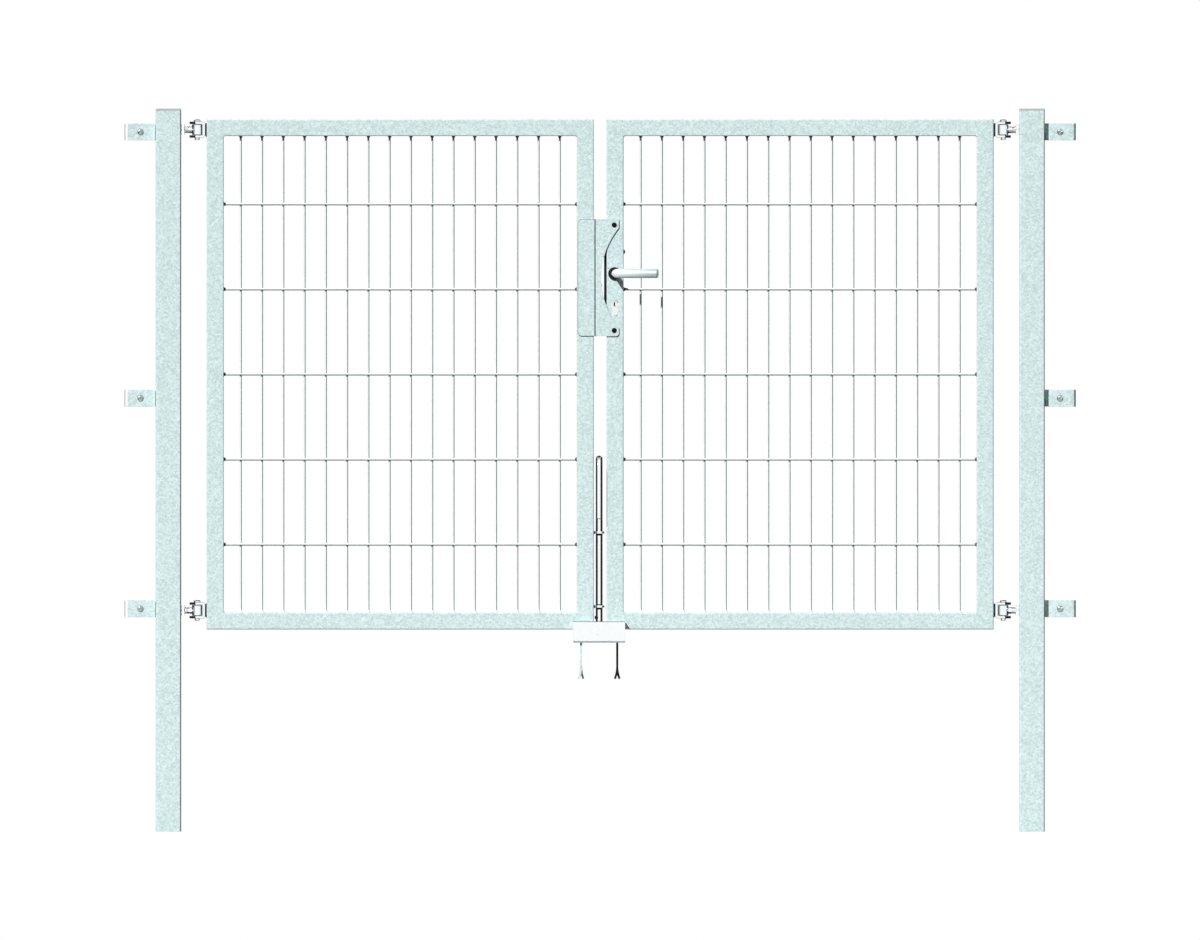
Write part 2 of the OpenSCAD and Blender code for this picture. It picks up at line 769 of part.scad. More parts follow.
drop_rod();
at_right() hinge_stile();  // right_hinge_stile
right_meeting_stile();
at_right() top_rail();  // right_top_rail
at_right() bottom_rail();  // right_bottom_rail
at_right() mesh();  // right_mesh
at_right() clevises();  // right_clevises
at_right() hinge_pins();  // right_hinge_pins
lock_faceplate();
lock_case();
lock_cylinder();
lock_screw();
rosettes();
lever();  // lever_front
mirror([0, 1, 0]) lever();  // lever_back
spindle();
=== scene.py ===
import json
import math
import bmesh
import bpy
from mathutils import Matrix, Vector


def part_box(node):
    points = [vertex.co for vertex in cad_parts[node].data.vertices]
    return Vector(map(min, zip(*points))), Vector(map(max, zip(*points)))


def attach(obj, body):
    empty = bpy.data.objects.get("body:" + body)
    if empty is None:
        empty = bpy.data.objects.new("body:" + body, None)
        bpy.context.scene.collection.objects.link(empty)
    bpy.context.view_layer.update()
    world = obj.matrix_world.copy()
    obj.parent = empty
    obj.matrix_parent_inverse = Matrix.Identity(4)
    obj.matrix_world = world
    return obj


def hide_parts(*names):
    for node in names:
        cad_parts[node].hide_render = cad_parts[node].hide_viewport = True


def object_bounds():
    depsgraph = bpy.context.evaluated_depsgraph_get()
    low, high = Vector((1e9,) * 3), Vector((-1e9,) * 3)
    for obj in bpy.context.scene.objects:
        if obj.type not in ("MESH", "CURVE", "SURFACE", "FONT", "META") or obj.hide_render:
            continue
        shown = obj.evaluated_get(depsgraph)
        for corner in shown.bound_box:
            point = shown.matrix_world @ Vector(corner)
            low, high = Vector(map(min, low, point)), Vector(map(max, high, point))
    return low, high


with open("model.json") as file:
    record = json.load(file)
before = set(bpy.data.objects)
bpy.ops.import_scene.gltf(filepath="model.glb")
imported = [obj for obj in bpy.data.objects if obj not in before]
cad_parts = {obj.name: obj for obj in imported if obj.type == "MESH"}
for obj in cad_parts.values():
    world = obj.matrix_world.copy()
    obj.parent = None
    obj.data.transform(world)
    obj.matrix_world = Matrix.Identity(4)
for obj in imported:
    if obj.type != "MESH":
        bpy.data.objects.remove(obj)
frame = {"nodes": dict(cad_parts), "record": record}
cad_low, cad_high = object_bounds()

# ---- The place it stands in ----
# A pale studio floor in a white room. A crisp main lamp shines from the upper left, and softer ones from behind
# and from the right. The room is white to the eye and in metal, but dark behind the gate, for dark edges on metal.

gate_middle = (cad_low + cad_high) / 2
scene = bpy.context.scene
scene.view_settings.view_transform = "Standard"

bpy.ops.object.select_all(action="DESELECT")
eye, view_wide = (1.0145, -8.0, 0.850), 2.821
bpy.ops.object.camera_add(location=eye, rotation=(math.pi / 2, 0, 0))
camera = bpy.context.object
camera.name = "Camera"
camera.data.type = "ORTHO"
camera.data.ortho_scale = view_wide
camera.data.clip_end = 60
scene.camera = camera


def add_lamp(name, travel, strength, spread):
    """A distant lamp whose light travels along a direction, with the angle that its disc spans in degrees."""
    bpy.ops.object.light_add(type="SUN", rotation=Vector(travel).to_track_quat("-Z", "Y").to_euler())
    lamp = bpy.context.object
    lamp.name = name
    lamp.data.energy = strength
    lamp.data.angle = math.radians(spread)


add_lamp("MainLamp", (0.49, 1.0, -0.70), 3.85, 1.0)
add_lamp("RearLamp", (0.30, -1.0, -0.80), 1.9, 8.0)
add_lamp("SideLamp", (-1.0, -0.03, -0.35), 1.2, 8.0)

floor_radius, under_posts = 2.8, 0.0005
bpy.ops.mesh.primitive_circle_add(vertices=64, radius=floor_radius, fill_type="NGON",
                                  location=(gate_middle.x, gate_middle.y, cad_low.z - under_posts))
floor = bpy.context.object
floor.name = "StudioFloor"


def add_node(tree, kind, inputs, **settings):
    """A new node with its settings. What goes into a socket is a plain value or another node's output."""
    node = tree.nodes.new(kind)
    for name, value in settings.items():
        setattr(node, name, value)
    for socket, value in inputs.items():
        if hasattr(value, "links"):
            tree.links.new(value, node.inputs[socket])
        else:
            node.inputs[socket].default_value = value
    return node


def arithmetic(tree, operation, *parts):
    """One step of arithmetic."""
    return add_node(tree, "ShaderNodeMath", dict(enumerate(parts)), operation=operation).outputs[0]


def mixed(tree, kind, factor, first, second):
    """Something between two numbers, vectors or colours."""
    return add_node(tree, "ShaderNodeMix", {"Factor": factor, "A": first, "B": second},
                    data_type=kind).outputs["Result"]


def stretched(tree, value, low, high, least=0.0, most=1.0, curve="LINEAR"):
    """A value's range from low to high, stretched to run from least to most."""
    limits = {"Value": value, "From Min": low, "From Max": high, "To Min": least, "To Max": most}
    return add_node(tree, "ShaderNodeMapRange", limits, interpolation_type=curve).outputs["Result"]


def new_finish(name, roughness, metallic, shine):
    """A material with its shader's plain values set, and its tree."""
    finish = bpy.data.materials.new(name)
    finish.use_nodes = True
    shader = finish.node_tree.nodes["Principled BSDF"]
    for socket, value in (("Roughness", roughness), ("Metallic", metallic), ("Specular IOR Level", shine)):
        shader.inputs[socket].default_value = value
    return finish, shader, finish.node_tree


paint, shader, tree = new_finish("floor_paint", 0.9, 0.0, 0.1)
path = tree.nodes.new("ShaderNodeLightPath")
in_metal = arithmetic(tree, "MAXIMUM", path.outputs["Is Glossy Ray"], path.outputs["Is Transmission Ray"])
seen = arithmetic(tree, "MAXIMUM", path.outputs["Is Camera Ray"], in_metal)
tone = mixed(tree, "RGBA", seen, (0.10, 0.10, 0.10, 1), (0.93, 0.93, 0.92, 1))
tree.links.new(tone, shader.inputs["Base Color"])
floor.data.materials.append(paint)

room = bpy.data.worlds.new("white_room")
scene.world = room
room.use_nodes = True
tree = room.node_tree
tree.nodes.clear()
path = tree.nodes.new("ShaderNodeLightPath")
in_metal = arithmetic(tree, "MAXIMUM", path.outputs["Is Glossy Ray"], path.outputs["Is Transmission Ray"])
seen_first = arithmetic(tree, "LESS_THAN", path.outputs["Diffuse Depth"], 0.5)
mirrored_room = arithmetic(tree, "MULTIPLY", in_metal, seen_first)
room_shown = arithmetic(tree, "MAXIMUM", path.outputs["Is Camera Ray"], mirrored_room)
outward = add_node(tree, "ShaderNodeSeparateXYZ", {0: tree.nodes.new("ShaderNodeTexCoord").outputs["Generated"]})
behind = arithmetic(tree, "MULTIPLY", outward.outputs["Y"], 1.5)
below = arithmetic(tree, "MULTIPLY", outward.outputs["Z"], -2.2)
walls = stretched(tree, arithmetic(tree, "MAXIMUM", behind, below), 0.20, 0.55, 1.0, 0.0, curve="SMOOTHSTEP")
glow = mixed(tree, "FLOAT", in_metal, 1.0, walls)
white = add_node(tree, "ShaderNodeBackground", {"Color": (1, 1, 1, 1), "Strength": glow})
fill = add_node(tree, "ShaderNodeBackground", {"Color": (0.028, 0.031, 0.033, 1)})
to_eye = add_node(tree, "ShaderNodeMixShader", {0: room_shown, 1: fill.outputs[0], 2: white.outputs[0]})
tree.links.new(to_eye.outputs[0], tree.nodes.new("ShaderNodeOutputWorld").inputs["Surface"])

# ---- Posts ----
# Two square steel tubes, cut to length, drilled on the gateway side for the hinge bolts and hot-dip galvanised.
# The lower part of each stands in concrete. The zinc has frozen into a faint grey-green spangle.


def let_go():
    """Back to object mode with nothing picked."""
    if bpy.context.mode != "OBJECT":
        bpy.ops.object.mode_set(mode="OBJECT")
    bpy.ops.object.select_all(action="DESELECT")


def take(piece):
    """Picks one piece, alone."""
    let_go()
    piece.select_set(True)
    bpy.context.view_layer.objects.active = piece
    return piece


def open_up():
    """Opens the piece in hand for work on its vertices, all of them picked."""
    bpy.ops.object.mode_set(mode="EDIT")
    bpy.ops.mesh.select_mode(type="VERT")
    bpy.ops.mesh.select_all(action="SELECT")


def named(name):
    """The piece just added, with its place put into its mesh."""
    piece = bpy.context.object
    piece.name = piece.data.name = name
    bpy.ops.object.transform_apply(location=True, rotation=True, scale=True)
    return piece


def close_up():
    """Turns the faces of the piece in hand outwards, and ends the work on it."""
    bpy.ops.mesh.select_all(action="SELECT")
    bpy.ops.mesh.normals_make_consistent(inside=False)
    bpy.ops.object.mode_set(mode="OBJECT")


def block(name, low, high):
    """A bar of metal from its lowest to its highest corner."""
    let_go()
    middle = [(a + b) / 2 for a, b in zip(low, high)]
    bpy.ops.mesh.primitive_cube_add(size=1, location=middle, scale=[b - a for a, b in zip(low, high)])
    return named(name)


def rod(name, start, end, radius, sides=48):
    """A round bar between two points."""
    let_go()
    run = Vector(end) - Vector(start)
    bpy.ops.mesh.primitive_cylinder_add(vertices=sides, radius=radius, depth=run.length,
                                        location=(Vector(start) + Vector(end)) / 2,
                                        rotation=run.to_track_quat("Z", "Y").to_euler())
    return named(name)


def mark(piece, kind, where):
    """Opens a piece and picks what passes the test: a vertex by its place, an edge by its two ends, a face by its
    middle and normal."""
    take(piece)
    bpy.ops.object.mode_set(mode="EDIT")
    bpy.ops.mesh.select_mode(type=kind)
    bpy.ops.mesh.select_all(action="DESELECT")
    mesh = bmesh.from_edit_mesh(piece.data)
    if kind == "VERT":
        for v in mesh.verts:
            v.select_set(bool(where(v.co)))
    elif kind == "EDGE":
        for e in mesh.edges:
            e.select_set(bool(where(e.verts[0].co, e.verts[1].co)))
    else:
        for f in mesh.faces:
            f.select_set(bool(where(f.calc_center_median(), f.normal)))
    bmesh.update_edit_mesh(piece.data)


def runs_along(a, b, axis):
    """True if the edge from a to b follows that axis."""
    step = b - a
    return abs(step[axis]) > 0.999 * step.length


def round_edges(piece, width, segments, where):
    """Rounds the edges that pass the test."""
    mark(piece, "EDGE", where)
    bpy.ops.mesh.bevel(offset=width, segments=segments, affect="EDGES")
    let_go()


def finish_with(piece, kind, **values):
    """Puts a modifier on a piece and applies it."""
    take(piece)
    step = piece.modifiers.new(kind.title(), kind)
    for key, value in values.items():
        setattr(step, key, value)
    bpy.ops.object.modifier_apply(modifier=step.name)
    return piece


def deburr(piece, width=0.0005, segments=2, above=30):
    """Takes the sharpness off every edge that turns by more than an angle."""
    return finish_with(piece, "BEVEL", width=width, segments=segments, limit_method="ANGLE",
                       angle_limit=math.radians(above), harden_normals=False)


def scrap(tool):
    """Throws a tool away."""
    bpy.data.objects.remove(tool, do_unlink=True)


def drill(piece, *cutters):
    """Cuts each cutter's shape out of a piece."""
    for cutter in cutters:
        finish_with(piece, "BOOLEAN", object=cutter, operation="DIFFERENCE", solver="EXACT")
        scrap(cutter)
    return piece


def copy_of(piece, name, move=(0, 0, 0)):
    """A second one like it, with its own mesh, moved along."""
    take(piece)
    bpy.ops.object.duplicate(linked=False)
    twin = bpy.context.object
    twin.name = twin.data.name = name
    bpy.ops.transform.translate(value=move)
    bpy.ops.object.transform_apply(location=True, rotation=True, scale=True)
    return twin


def mirrored(piece, name, axis=0, about=gate_middle.x):
    """Its mirror image across a plane, by default the middle of the gate."""
    twin = copy_of(piece, name)
    scale = [1, 1, 1]
    scale[axis] = -1
    centre = [0, 0, 0]
    centre[axis] = about
    open_up()
    bpy.ops.transform.resize(value=scale, center_override=centre)
    close_up()
    return twin


def fit(piece, body, slot, material, *nodes, smooth=35):
    """Gives a finished piece its finish and its place on a body, in the stead of the nodes named."""
    take(piece)
    bpy.ops.object.shade_smooth_by_angle(angle=math.radians(smooth))
    finish_with(piece, "WEIGHTED_NORMAL", mode="FACE_AREA", weight=100, keep_sharp=True)
    if not piece.data.materials:
        piece.data.materials.append(material)
    if nodes:
        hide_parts(*nodes)
    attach(piece, body)
    return piece


def coat(piece, first, finish, where):
    """Gives a piece its first finish, and the faces that pass the test another one."""
    if not piece.data.materials:
        piece.data.materials.append(first)
    mark(piece, "FACE", where)
    piece.data.materials.append(finish)
    piece.active_material_index = len(piece.data.materials) - 1
    bpy.ops.object.material_slot_assign()
    let_go()


def new_group(name, inputs, outputs):
    """An empty node group with its named inputs and outputs."""
    group = bpy.data.node_groups.new(name, "ShaderNodeTree")
    for socket, kind, value in inputs:
        group.interface.new_socket(socket, in_out="INPUT", socket_type=kind).default_value = value
    for socket in outputs:
        group.interface.new_socket(socket, in_out="OUTPUT", socket_type="NodeSocketFloat")
    return group, group.nodes.new("NodeGroupInput"), group.nodes.new("NodeGroupOutput")


def lead_out(group, outlet, **sources):
    """Joins what a group puts out to its named outputs."""
    for name, source in sources.items():
        group.links.new(source, outlet.inputs[name])


def placed(tree, group, socket, value):
    """A node group in a material's tree, with its own value."""
    return add_node(tree, "ShaderNodeGroup", {socket: value}, node_tree=group)


def noise(tree, place, scale, detail, roughness=0.5):
    """Cloudy noise over a surface."""
    return add_node(tree, "ShaderNodeTexNoise", {"Vector": place, "Scale": scale, "Detail": detail,
                                                 "Roughness": roughness})


def coloured(tree, shader, tone, dark, light, dullness, height, strength, depth):
    """Joins a finish's tone, dullness and height to its shader."""
    bump = add_node(tree, "ShaderNodeBump", {"Strength": strength, "Distance": depth, "Height": height})
    for source, socket in ((mixed(tree, "RGBA", tone, (*dark, 1), (*light, 1)), "Base Color"),
                           (dullness, "Roughness"), (bump.outputs["Normal"], "Normal")):
        tree.links.new(source, shader.inputs[socket])


# Zinc that froze as flat crystals: a tone for each crystal, a finer flake, and a height for the bump.
crystal_scale, flake_scale = ("Crystal Scale", "NodeSocketFloat", 80.0), ("Flake Scale", "NodeSocketFloat", 420.0)
zinc_spangle, inlet, outlet = new_group("zinc_spangle", (crystal_scale, flake_scale), ("Tone", "Flake", "Height"))
place = zinc_spangle.nodes.new("ShaderNodeTexCoord").outputs["Object"]
drift = noise(zinc_spangle, place, 60.0, 4.0)
bend = mixed(zinc_spangle, "VECTOR", 0.018, place, drift.outputs["Color"])
crystal = add_node(zinc_spangle, "ShaderNodeTexVoronoi", feature="F1",
                   inputs={"Vector": bend, "Scale": inlet.outputs["Crystal Scale"]})
flake = add_node(zinc_spangle, "ShaderNodeTexVoronoi", feature="SMOOTH_F1",
                 inputs={"Vector": bend, "Scale": inlet.outputs["Flake Scale"], "Smoothness": 0.4})
flake = flake.outputs["Distance"]
shade_of = add_node(zinc_spangle, "ShaderNodeSeparateColor", {0: crystal.outputs["Color"]})
clouds = noise(zinc_spangle, place, 210.0, 5.0, 0.7)
tone = mixed(zinc_spangle, "FLOAT", 0.55, shade_of.outputs[0], clouds.outputs["Fac"])
lead_out(zinc_spangle, outlet, Tone=tone, Flake=flake, Height=arithmetic(zinc_spangle, "ADD", tone, flake))


def galvanised_finish(name, dark, light, metallic, smoothest, roughest, crystals):
    """Zinc with its spangle: each crystal is a little lighter or darker, and a little smoother or duller."""
    finish, shader, tree = new_finish(name, 0.5, metallic, 0.08)
    spangle = placed(tree, zinc_spangle, "Crystal Scale", crystals)
    coloured(tree, shader, stretched(tree, spangle.outputs["Tone"], 0.2, 0.8), dark, light,
             stretched(tree, spangle.outputs["Flake"], 0.0, 1.0, smoothest, roughest),
             spangle.outputs["Height"], 0.35, 0.0004)
    return finish


galvanised = galvanised_finish("galvanised", (0.50, 0.63, 0.63), (0.76, 0.91, 0.91), 0.08, 0.42, 0.66, 260.0)

post_low, post_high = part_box("post_left")
post_wall, post_round, inside, outside = 0.003, 0.004, 0.01, 0.05
eye_low, eye_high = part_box("hinge_eyebolts_left")
eye_tall = 0.025
hinge_heights = [eye_low.z + eye_tall / 2, eye_high.z - eye_tall / 2]
hinge_hole = 0.00825

post = block("post_tube_left", post_low, post_high)
mark(post, "FACE", lambda middle, normal: abs(normal.z) > 0.9)
bpy.ops.mesh.delete(type="FACE")
round_edges(post, post_round, 8, lambda a, b: runs_along(a, b, 2))
finish_with(post, "SOLIDIFY", thickness=post_wall, offset=-1, use_even_offset=True)
drill(post, *[rod("drill", (inside, 0, z), (outside, 0, z), hinge_hole, 40) for z in hinge_heights])
deburr(post, 0.0004, 2, 60)
# Painted shade: the rounded corners on the right-hand side, which face away from the main lamp, are coloured dark.
painted_deep_shade_zinc = galvanised_finish("painted_deep_shade_zinc", (0.08, 0.10, 0.10), (0.15, 0.18, 0.18), 0.1, 0.5, 0.7, 150.0)
far_post = mirrored(post, "post_tube_right")
for tube_of_post, turned_from in ((post, 0.3), (far_post, 0.55)):
    coat(tube_of_post, galvanised, painted_deep_shade_zinc, lambda middle, normal: normal.x > turned_from and normal.y < -0.05)
fit(post, "posts", "galvanised", galvanised, "post_left")
fit(far_post, "posts", "galvanised", galvanised, "post_right")

# ---- Post caps ----
# A grey plastic cap closes the top of each post. Its plate has the tube's outline with a softened rim,
# and a hollow plug under it grips the inside of the tube.

cap_low, cap_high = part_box("post_cap_left")
cap_plate, plug_slack, rim, hair = 0.005, 0.0003, 0.0285, 0.00001


def draw_out(step):
    """Draws what is picked out by a step."""
    bpy.ops.mesh.extrude_region_move(TRANSFORM_OT_translate={"value": step})


def fit_pair(piece, body, slot, material, *nodes, smooth=35):
    """Fits a piece of the gate's left half, and its mirror image on the right."""
    twin = mirrored(piece, piece.name.replace("left", "right"))
    fit(twin, body.replace("left", "right"), slot, material, *[node.replace("left", "right") for node in nodes],
        smooth=smooth)
    fit(piece, body, slot, material, *nodes, smooth=smooth)


cap = block("cap_left", (cap_low.x, cap_low.y, cap_high.z - cap_plate), cap_high)
mark(cap, "FACE", lambda middle, normal: normal.z < -0.9)
bpy.ops.mesh.inset(thickness=post_wall + plug_slack, depth=0)
draw_out((0, 0, cap_low.z - cap_high.z + cap_plate))
bpy.ops.mesh.inset(thickness=post_wall, depth=0)
draw_out((0, 0, 0.9 * (cap_high.z - cap_plate - cap_low.z)))
round_edges(cap, post_round, 8, lambda a, b: runs_along(a, b, 2) and min(abs(a.x), abs(a.y)) > rim - 0.0005)
round_edges(cap, 0.0014, 4, lambda a, b: min(a.z, b.z) > cap_high.z - hair)
under_rim = cap_high.z - cap_plate
round_edges(cap, 0.0004, 2, lambda a, b: max(abs(a.z - under_rim), abs(b.z - under_rim)) < hair
            and max(abs(a.x), abs(a.y)) > rim)

# What a mould leaves: a fine even grain, and cloudier patches where the piece is scuffed or dusty.
mould_grain, inlet, outlet = new_group("mould_grain", (("Grain Scale", "NodeSocketFloat", 900.0),),
                                       ("Grain", "Scuffs"))
place = mould_grain.nodes.new("ShaderNodeTexCoord").outputs["Object"]
lead_out(mould_grain, outlet, Grain=noise(mould_grain, place, inlet.outputs["Grain Scale"], 3.0).outputs["Fac"],
         Scuffs=noise(mould_grain, place, 60.0, 5.0).outputs["Fac"])


def moulded_finish(name, dark, light, smoothest, roughest, grain_scale, grain_depth, shine=0.3):
    """Plastic, rubber or tar, with the grain of a mould."""
    finish, shader, tree = new_finish(name, 0.5, 0.0, shine)
    mould = placed(tree, mould_grain, "Grain Scale", grain_scale)
    scuffs = mould.outputs["Scuffs"]
    coloured(tree, shader, scuffs, dark, light, stretched(tree, scuffs, 0.3, 0.7, smoothest, roughest),
             mould.outputs["Grain"], 0.3, grain_depth)
    return finish


cap_plastic = moulded_finish("cap_plastic", (0.43, 0.47, 0.47), (0.52, 0.56, 0.56), 0.42, 0.62, 1400.0, 0.00015)
fit_pair(cap, "posts", "cap_plastic", cap_plastic, "post_cap_left")

# ---- Fence tabs ----
# Three flat steel tabs are welded to the outer side of each post. A fence panel's end wire lies against them.
# Each has a hole for the clamp's bolt, and a weld on both faces where it meets the post.

clamp_heights = [mount["pos_m"][2] for mount in frame["record"]["mounts"]
                 if mount["name"].startswith("fence_clamp_left")]
tab_low, tab_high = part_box("fence_tabs_left")
tab_tall, tab_weld_half, bolt_hole, past_plate = 0.040, 0.016, 0.0043, 0.02
bolt_out = tab_high.x - 0.036


def start_at(point):
    """A single point, to draw a shape out from."""
    let_go()
    bpy.ops.mesh.primitive_plane_add(size=0.001, location=point)
    open_up()
    bpy.ops.mesh.merge(type="CENTER")


def turned(name, outline, foot, along, sides=48):
    """A round piece off the lathe. The outline is (distance from the foot along the axis, radius), and it starts
    and ends on the axis, or where it started."""
    axis = Vector(along).normalized()
    out = Vector((0, 0, 1)) if abs(axis.z) < 0.5 else Vector((1, 0, 0))
    points = [Vector(foot) + axis * step + out * radius for step, radius in outline]
    start_at(points[0])
    for here, there in zip(points, points[1:]):
        draw_out(there - here)
    bpy.ops.mesh.select_all(action="SELECT")
    bpy.ops.mesh.spin(steps=sides, angle=2 * math.pi, center=foot, axis=axis)
    bpy.ops.mesh.select_all(action="SELECT")
    bpy.ops.mesh.remove_doubles(threshold=0.000004)
    close_up()
    return named(name)


def weld_run(name, start, end, radius, pitch=0.0026, sides=10, flat=None):
    """A bead of weld between two points: a ripple for each drop of metal, rounded off at both ends. flat squashes
    it to a share of its height along an axis."""
    run = Vector(end) - Vector(start)
    drops = max(2, round(run.length / pitch))
    step = run.length / drops
    outline = [(-0.6 * radius, 0), (-0.35 * radius, 0.6 * radius)]
    for i in range(drops):
        wander = 1 + 0.05 * math.sin(2.3 * i + 100 * start[2])
        outline += [(i * step, 0.86 * radius), ((i + 0.45) * step, wander * radius)]
    outline += [(run.length, 0.86 * radius), (run.length + 0.35 * radius, 0.6 * radius),
                (run.length + 0.6 * radius, 0)]
    bead = turned(name, outline, start, run, sides)
    if flat:
        axis, share = flat
        scale = [1, 1, 1]
        scale[axis] = share
        open_up()
        bpy.ops.transform.resize(value=scale, center_override=start)
        bpy.ops.object.mode_set(mode="OBJECT")
    return bead


def gather(name, parts):
    """Several loose shapes as one piece."""
    let_go()
    for part in parts:
        part.select_set(True)
    bpy.context.view_layer.objects.active = parts[0]
    if len(parts) > 1:
        bpy.ops.object.join()
    piece = bpy.context.object
    piece.name = piece.data.name = name
    return piece


def at_heights(piece, heights):
    """A piece made for the first height, and one like it for each of the others."""
    return [piece] + [copy_of(piece, "copy", (0, 0, z - heights[0])) for z in heights[1:]]


tab = block("tab", (tab_low.x, tab_low.y, clamp_heights[0] - tab_tall / 2),
            (tab_high.x, tab_high.y, clamp_heights[0] + tab_tall / 2))
deburr(tab, 0.0006, 3)
drill(tab, rod("drill", (bolt_out, 0, clamp_heights[0]), (bolt_out, past_plate, clamp_heights[0]), bolt_hole, 32))
fit_pair(gather("fence_tabs_plates_left", at_heights(tab, clamp_heights)), "posts", "galvanised", galvanised,
         "fence_tabs_left")

tab_welds = [weld_run("weld", (tab_high.x, y, z - tab_weld_half), (tab_high.x, y, z + tab_weld_half), 0.0024)
             for z in clamp_heights for y in (tab_low.y, tab_high.y)]
fit_pair(gather("fence_tab_welds_left", tab_welds), "posts", "galvanised", galvanised)

# ---- Fence clamps ----
# A bent steel plate in front of each tab. Its lip reaches past the tab's end, so that the bolt draws the plate
# against the fence's end wire.

clamp_low, clamp_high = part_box("fence_clamps_left")
clamp_thick = 0.005
clamp_round = 0.008


def bent_plate(name, start, end, moves, thickness, smooth_edge=0.0006):
    """Sheet bent up from a strip: the edge from start to end, in the middle of the sheet's thickness, is drawn
    along each move in turn. A move is a step, or a bend as (point on its axis, axis, angle in degrees)."""
    start_at(start)
    draw_out(Vector(end) - Vector(start))
    bpy.ops.mesh.select_all(action="SELECT")
    for move in moves:
        if isinstance(move[0], (int, float)):
            draw_out(move)
        else:
            centre, axis, angle = move
            bpy.ops.mesh.spin(steps=max(3, round(abs(angle) / 11)), angle=math.radians(-angle), center=centre,
                              axis=axis)
    close_up()
    plate = named(name)
    finish_with(plate, "SOLIDIFY", thickness=thickness, offset=0, use_even_offset=True)
    open_up()
    bpy.ops.mesh.remove_doubles(threshold=hair)
    bpy.ops.object.mode_set(mode="OBJECT")
    return deburr(plate, smooth_edge, 3, 50) if smooth_edge else plate


bottom, top = clamp_heights[0] - tab_tall / 2, clamp_heights[0] + tab_tall / 2
plate_y = clamp_low.y + clamp_thick / 2
lip_x = clamp_low.x + clamp_round
clamp = bent_plate("clamp", (clamp_high.x, plate_y, bottom), (clamp_high.x, plate_y, top),
                   [(lip_x - clamp_high.x, 0, 0),
                    ((lip_x, clamp_low.y + clamp_round, bottom), (0, 0, 1), -90),
                    (0, clamp_high.y - clamp_low.y - clamp_round, 0)], clamp_thick)
drill(clamp, rod("drill", (bolt_out, -past_plate, clamp_heights[0]), (bolt_out, 0, clamp_heights[0]),
                 bolt_hole, 32))
# Painted highlight and shade: the left clamps' outer bend, which faces the main lamp, is coloured near white, and
# their outermost edges and the right clamps' outer bends are coloured dark.
painted_highlight_zinc = galvanised_finish("painted_highlight_zinc", (0.90, 0.97, 0.97), (0.98, 1.0, 1.0), 0.1, 0.35, 0.5, 200.0)
clamps = gather("fence_clamp_plates_left", at_heights(clamp, clamp_heights))
far_clamps = mirrored(clamps, "fence_clamp_plates_right")
coat(clamps, galvanised, painted_highlight_zinc, lambda middle, normal: 0.2 < -normal.x < 0.86 and normal.y < -0.1
     and middle.x < lip_x)
coat(clamps, galvanised, painted_deep_shade_zinc, lambda middle, normal: 0.86 < -normal.x < 0.999 and normal.y < -0.02)
coat(far_clamps, galvanised, painted_deep_shade_zinc, lambda middle, normal: normal.x > 0.5 and normal.y < -0.02)
fit(far_clamps, "posts", "galvanised", galvanised, "fence_clamps_right")
fit(clamps, "posts", "galvanised", galvanised, "fence_clamps_left")

# ---- Clamp bolts ----
# An M8 button-head bolt with a hexagon socket goes through each clamp and tab, with a plain nut behind.
# Bolts and nuts are bright zinc plate, with rolled threads.

clamp_bolt_low, clamp_bolt_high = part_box("fence_bolts_left")
turn_to = {"X": (0, math.pi / 2, 0), "Y": (0, math.pi / 2, math.pi / 2), "Z": (0, 0, 0)}


def six_sided(name, middle, along, across, thick):
    """A bar of hexagon steel."""
    let_go()
    bpy.ops.mesh.primitive_cylinder_add(vertices=6, radius=across / math.sqrt(3), depth=thick, location=middle,
                                        rotation=turn_to[along])
    return named(name)


def nut(name, middle, along, across, thick, bore):
    """A hexagon nut, its corners turned down at 30 degrees on both sides."""
    axis = Vector((along == "X", along == "Y", along == "Z"))
    foot = Vector(middle) - axis * thick / 2
    corner = across / math.sqrt(3)
    turn_down = 0.58 * (corner - 0.475 * across)
    shape = six_sided(name, middle, along, across, thick)
    barrel = turned("barrel", [(0, 0), (0, 0.475 * across), (turn_down, corner + 0.0001),
                               (thick - turn_down, corner + 0.0001), (thick, 0.475 * across), (thick, 0)],
                    foot, axis, 48)
    finish_with(shape, "BOOLEAN", object=barrel, operation="INTERSECT", solver="EXACT")
    scrap(barrel)
    mouth = turned("mouth", [(-0.001, 0), (-0.001, bore + 0.0018), (0.0010, bore), (thick - 0.0010, bore),
                             (thick + 0.001, bore + 0.0018), (thick + 0.001, 0)], foot, axis, 40)
    return drill(shape, mouth)


def threaded(name, foot, along, length, radius, pitch, sides=36):
    """Thread rolled on a bar: one turn of a zigzag outline, lifted by the pitch, cut square at both ends."""
    axis = Vector(along).normalized()
    root, turns = radius - 0.6134 * pitch, math.ceil(length / pitch) + 3
    start_at((0, 0, 0))
    bolt = bpy.context.object
    bpy.ops.transform.translate(value=(root, 0, -2 * pitch))
    for _ in range(turns):
        for step in ((radius - root, 0, 0.42 * pitch), (0, 0, 0.12 * pitch), (root - radius, 0, 0.42 * pitch),
                     (0, 0, 0.04 * pitch)):
            draw_out(step)
    bpy.ops.object.mode_set(mode="OBJECT")
    finish_with(bolt, "SCREW", axis="Z", angle=2 * math.pi, screw_offset=pitch, iterations=1, steps=sides,
                render_steps=sides, use_merge_vertices=True)
    open_up()
    bpy.ops.mesh.remove_doubles(threshold=0.000004)
    bpy.ops.mesh.select_all(action="SELECT")
    bpy.ops.mesh.bisect(plane_co=(0, 0, 0), plane_no=(0, 0, 1), use_fill=True, clear_inner=True,
                        threshold=0.000001)
    bpy.ops.mesh.select_all(action="SELECT")
    bpy.ops.mesh.bisect(plane_co=(0, 0, length), plane_no=(0, 0, 1), use_fill=True, clear_outer=True,
                        threshold=0.000001)
    close_up()
    bolt.location = foot
    bolt.rotation_euler = axis.to_track_quat("Z", "Y").to_euler()
    return named(name)


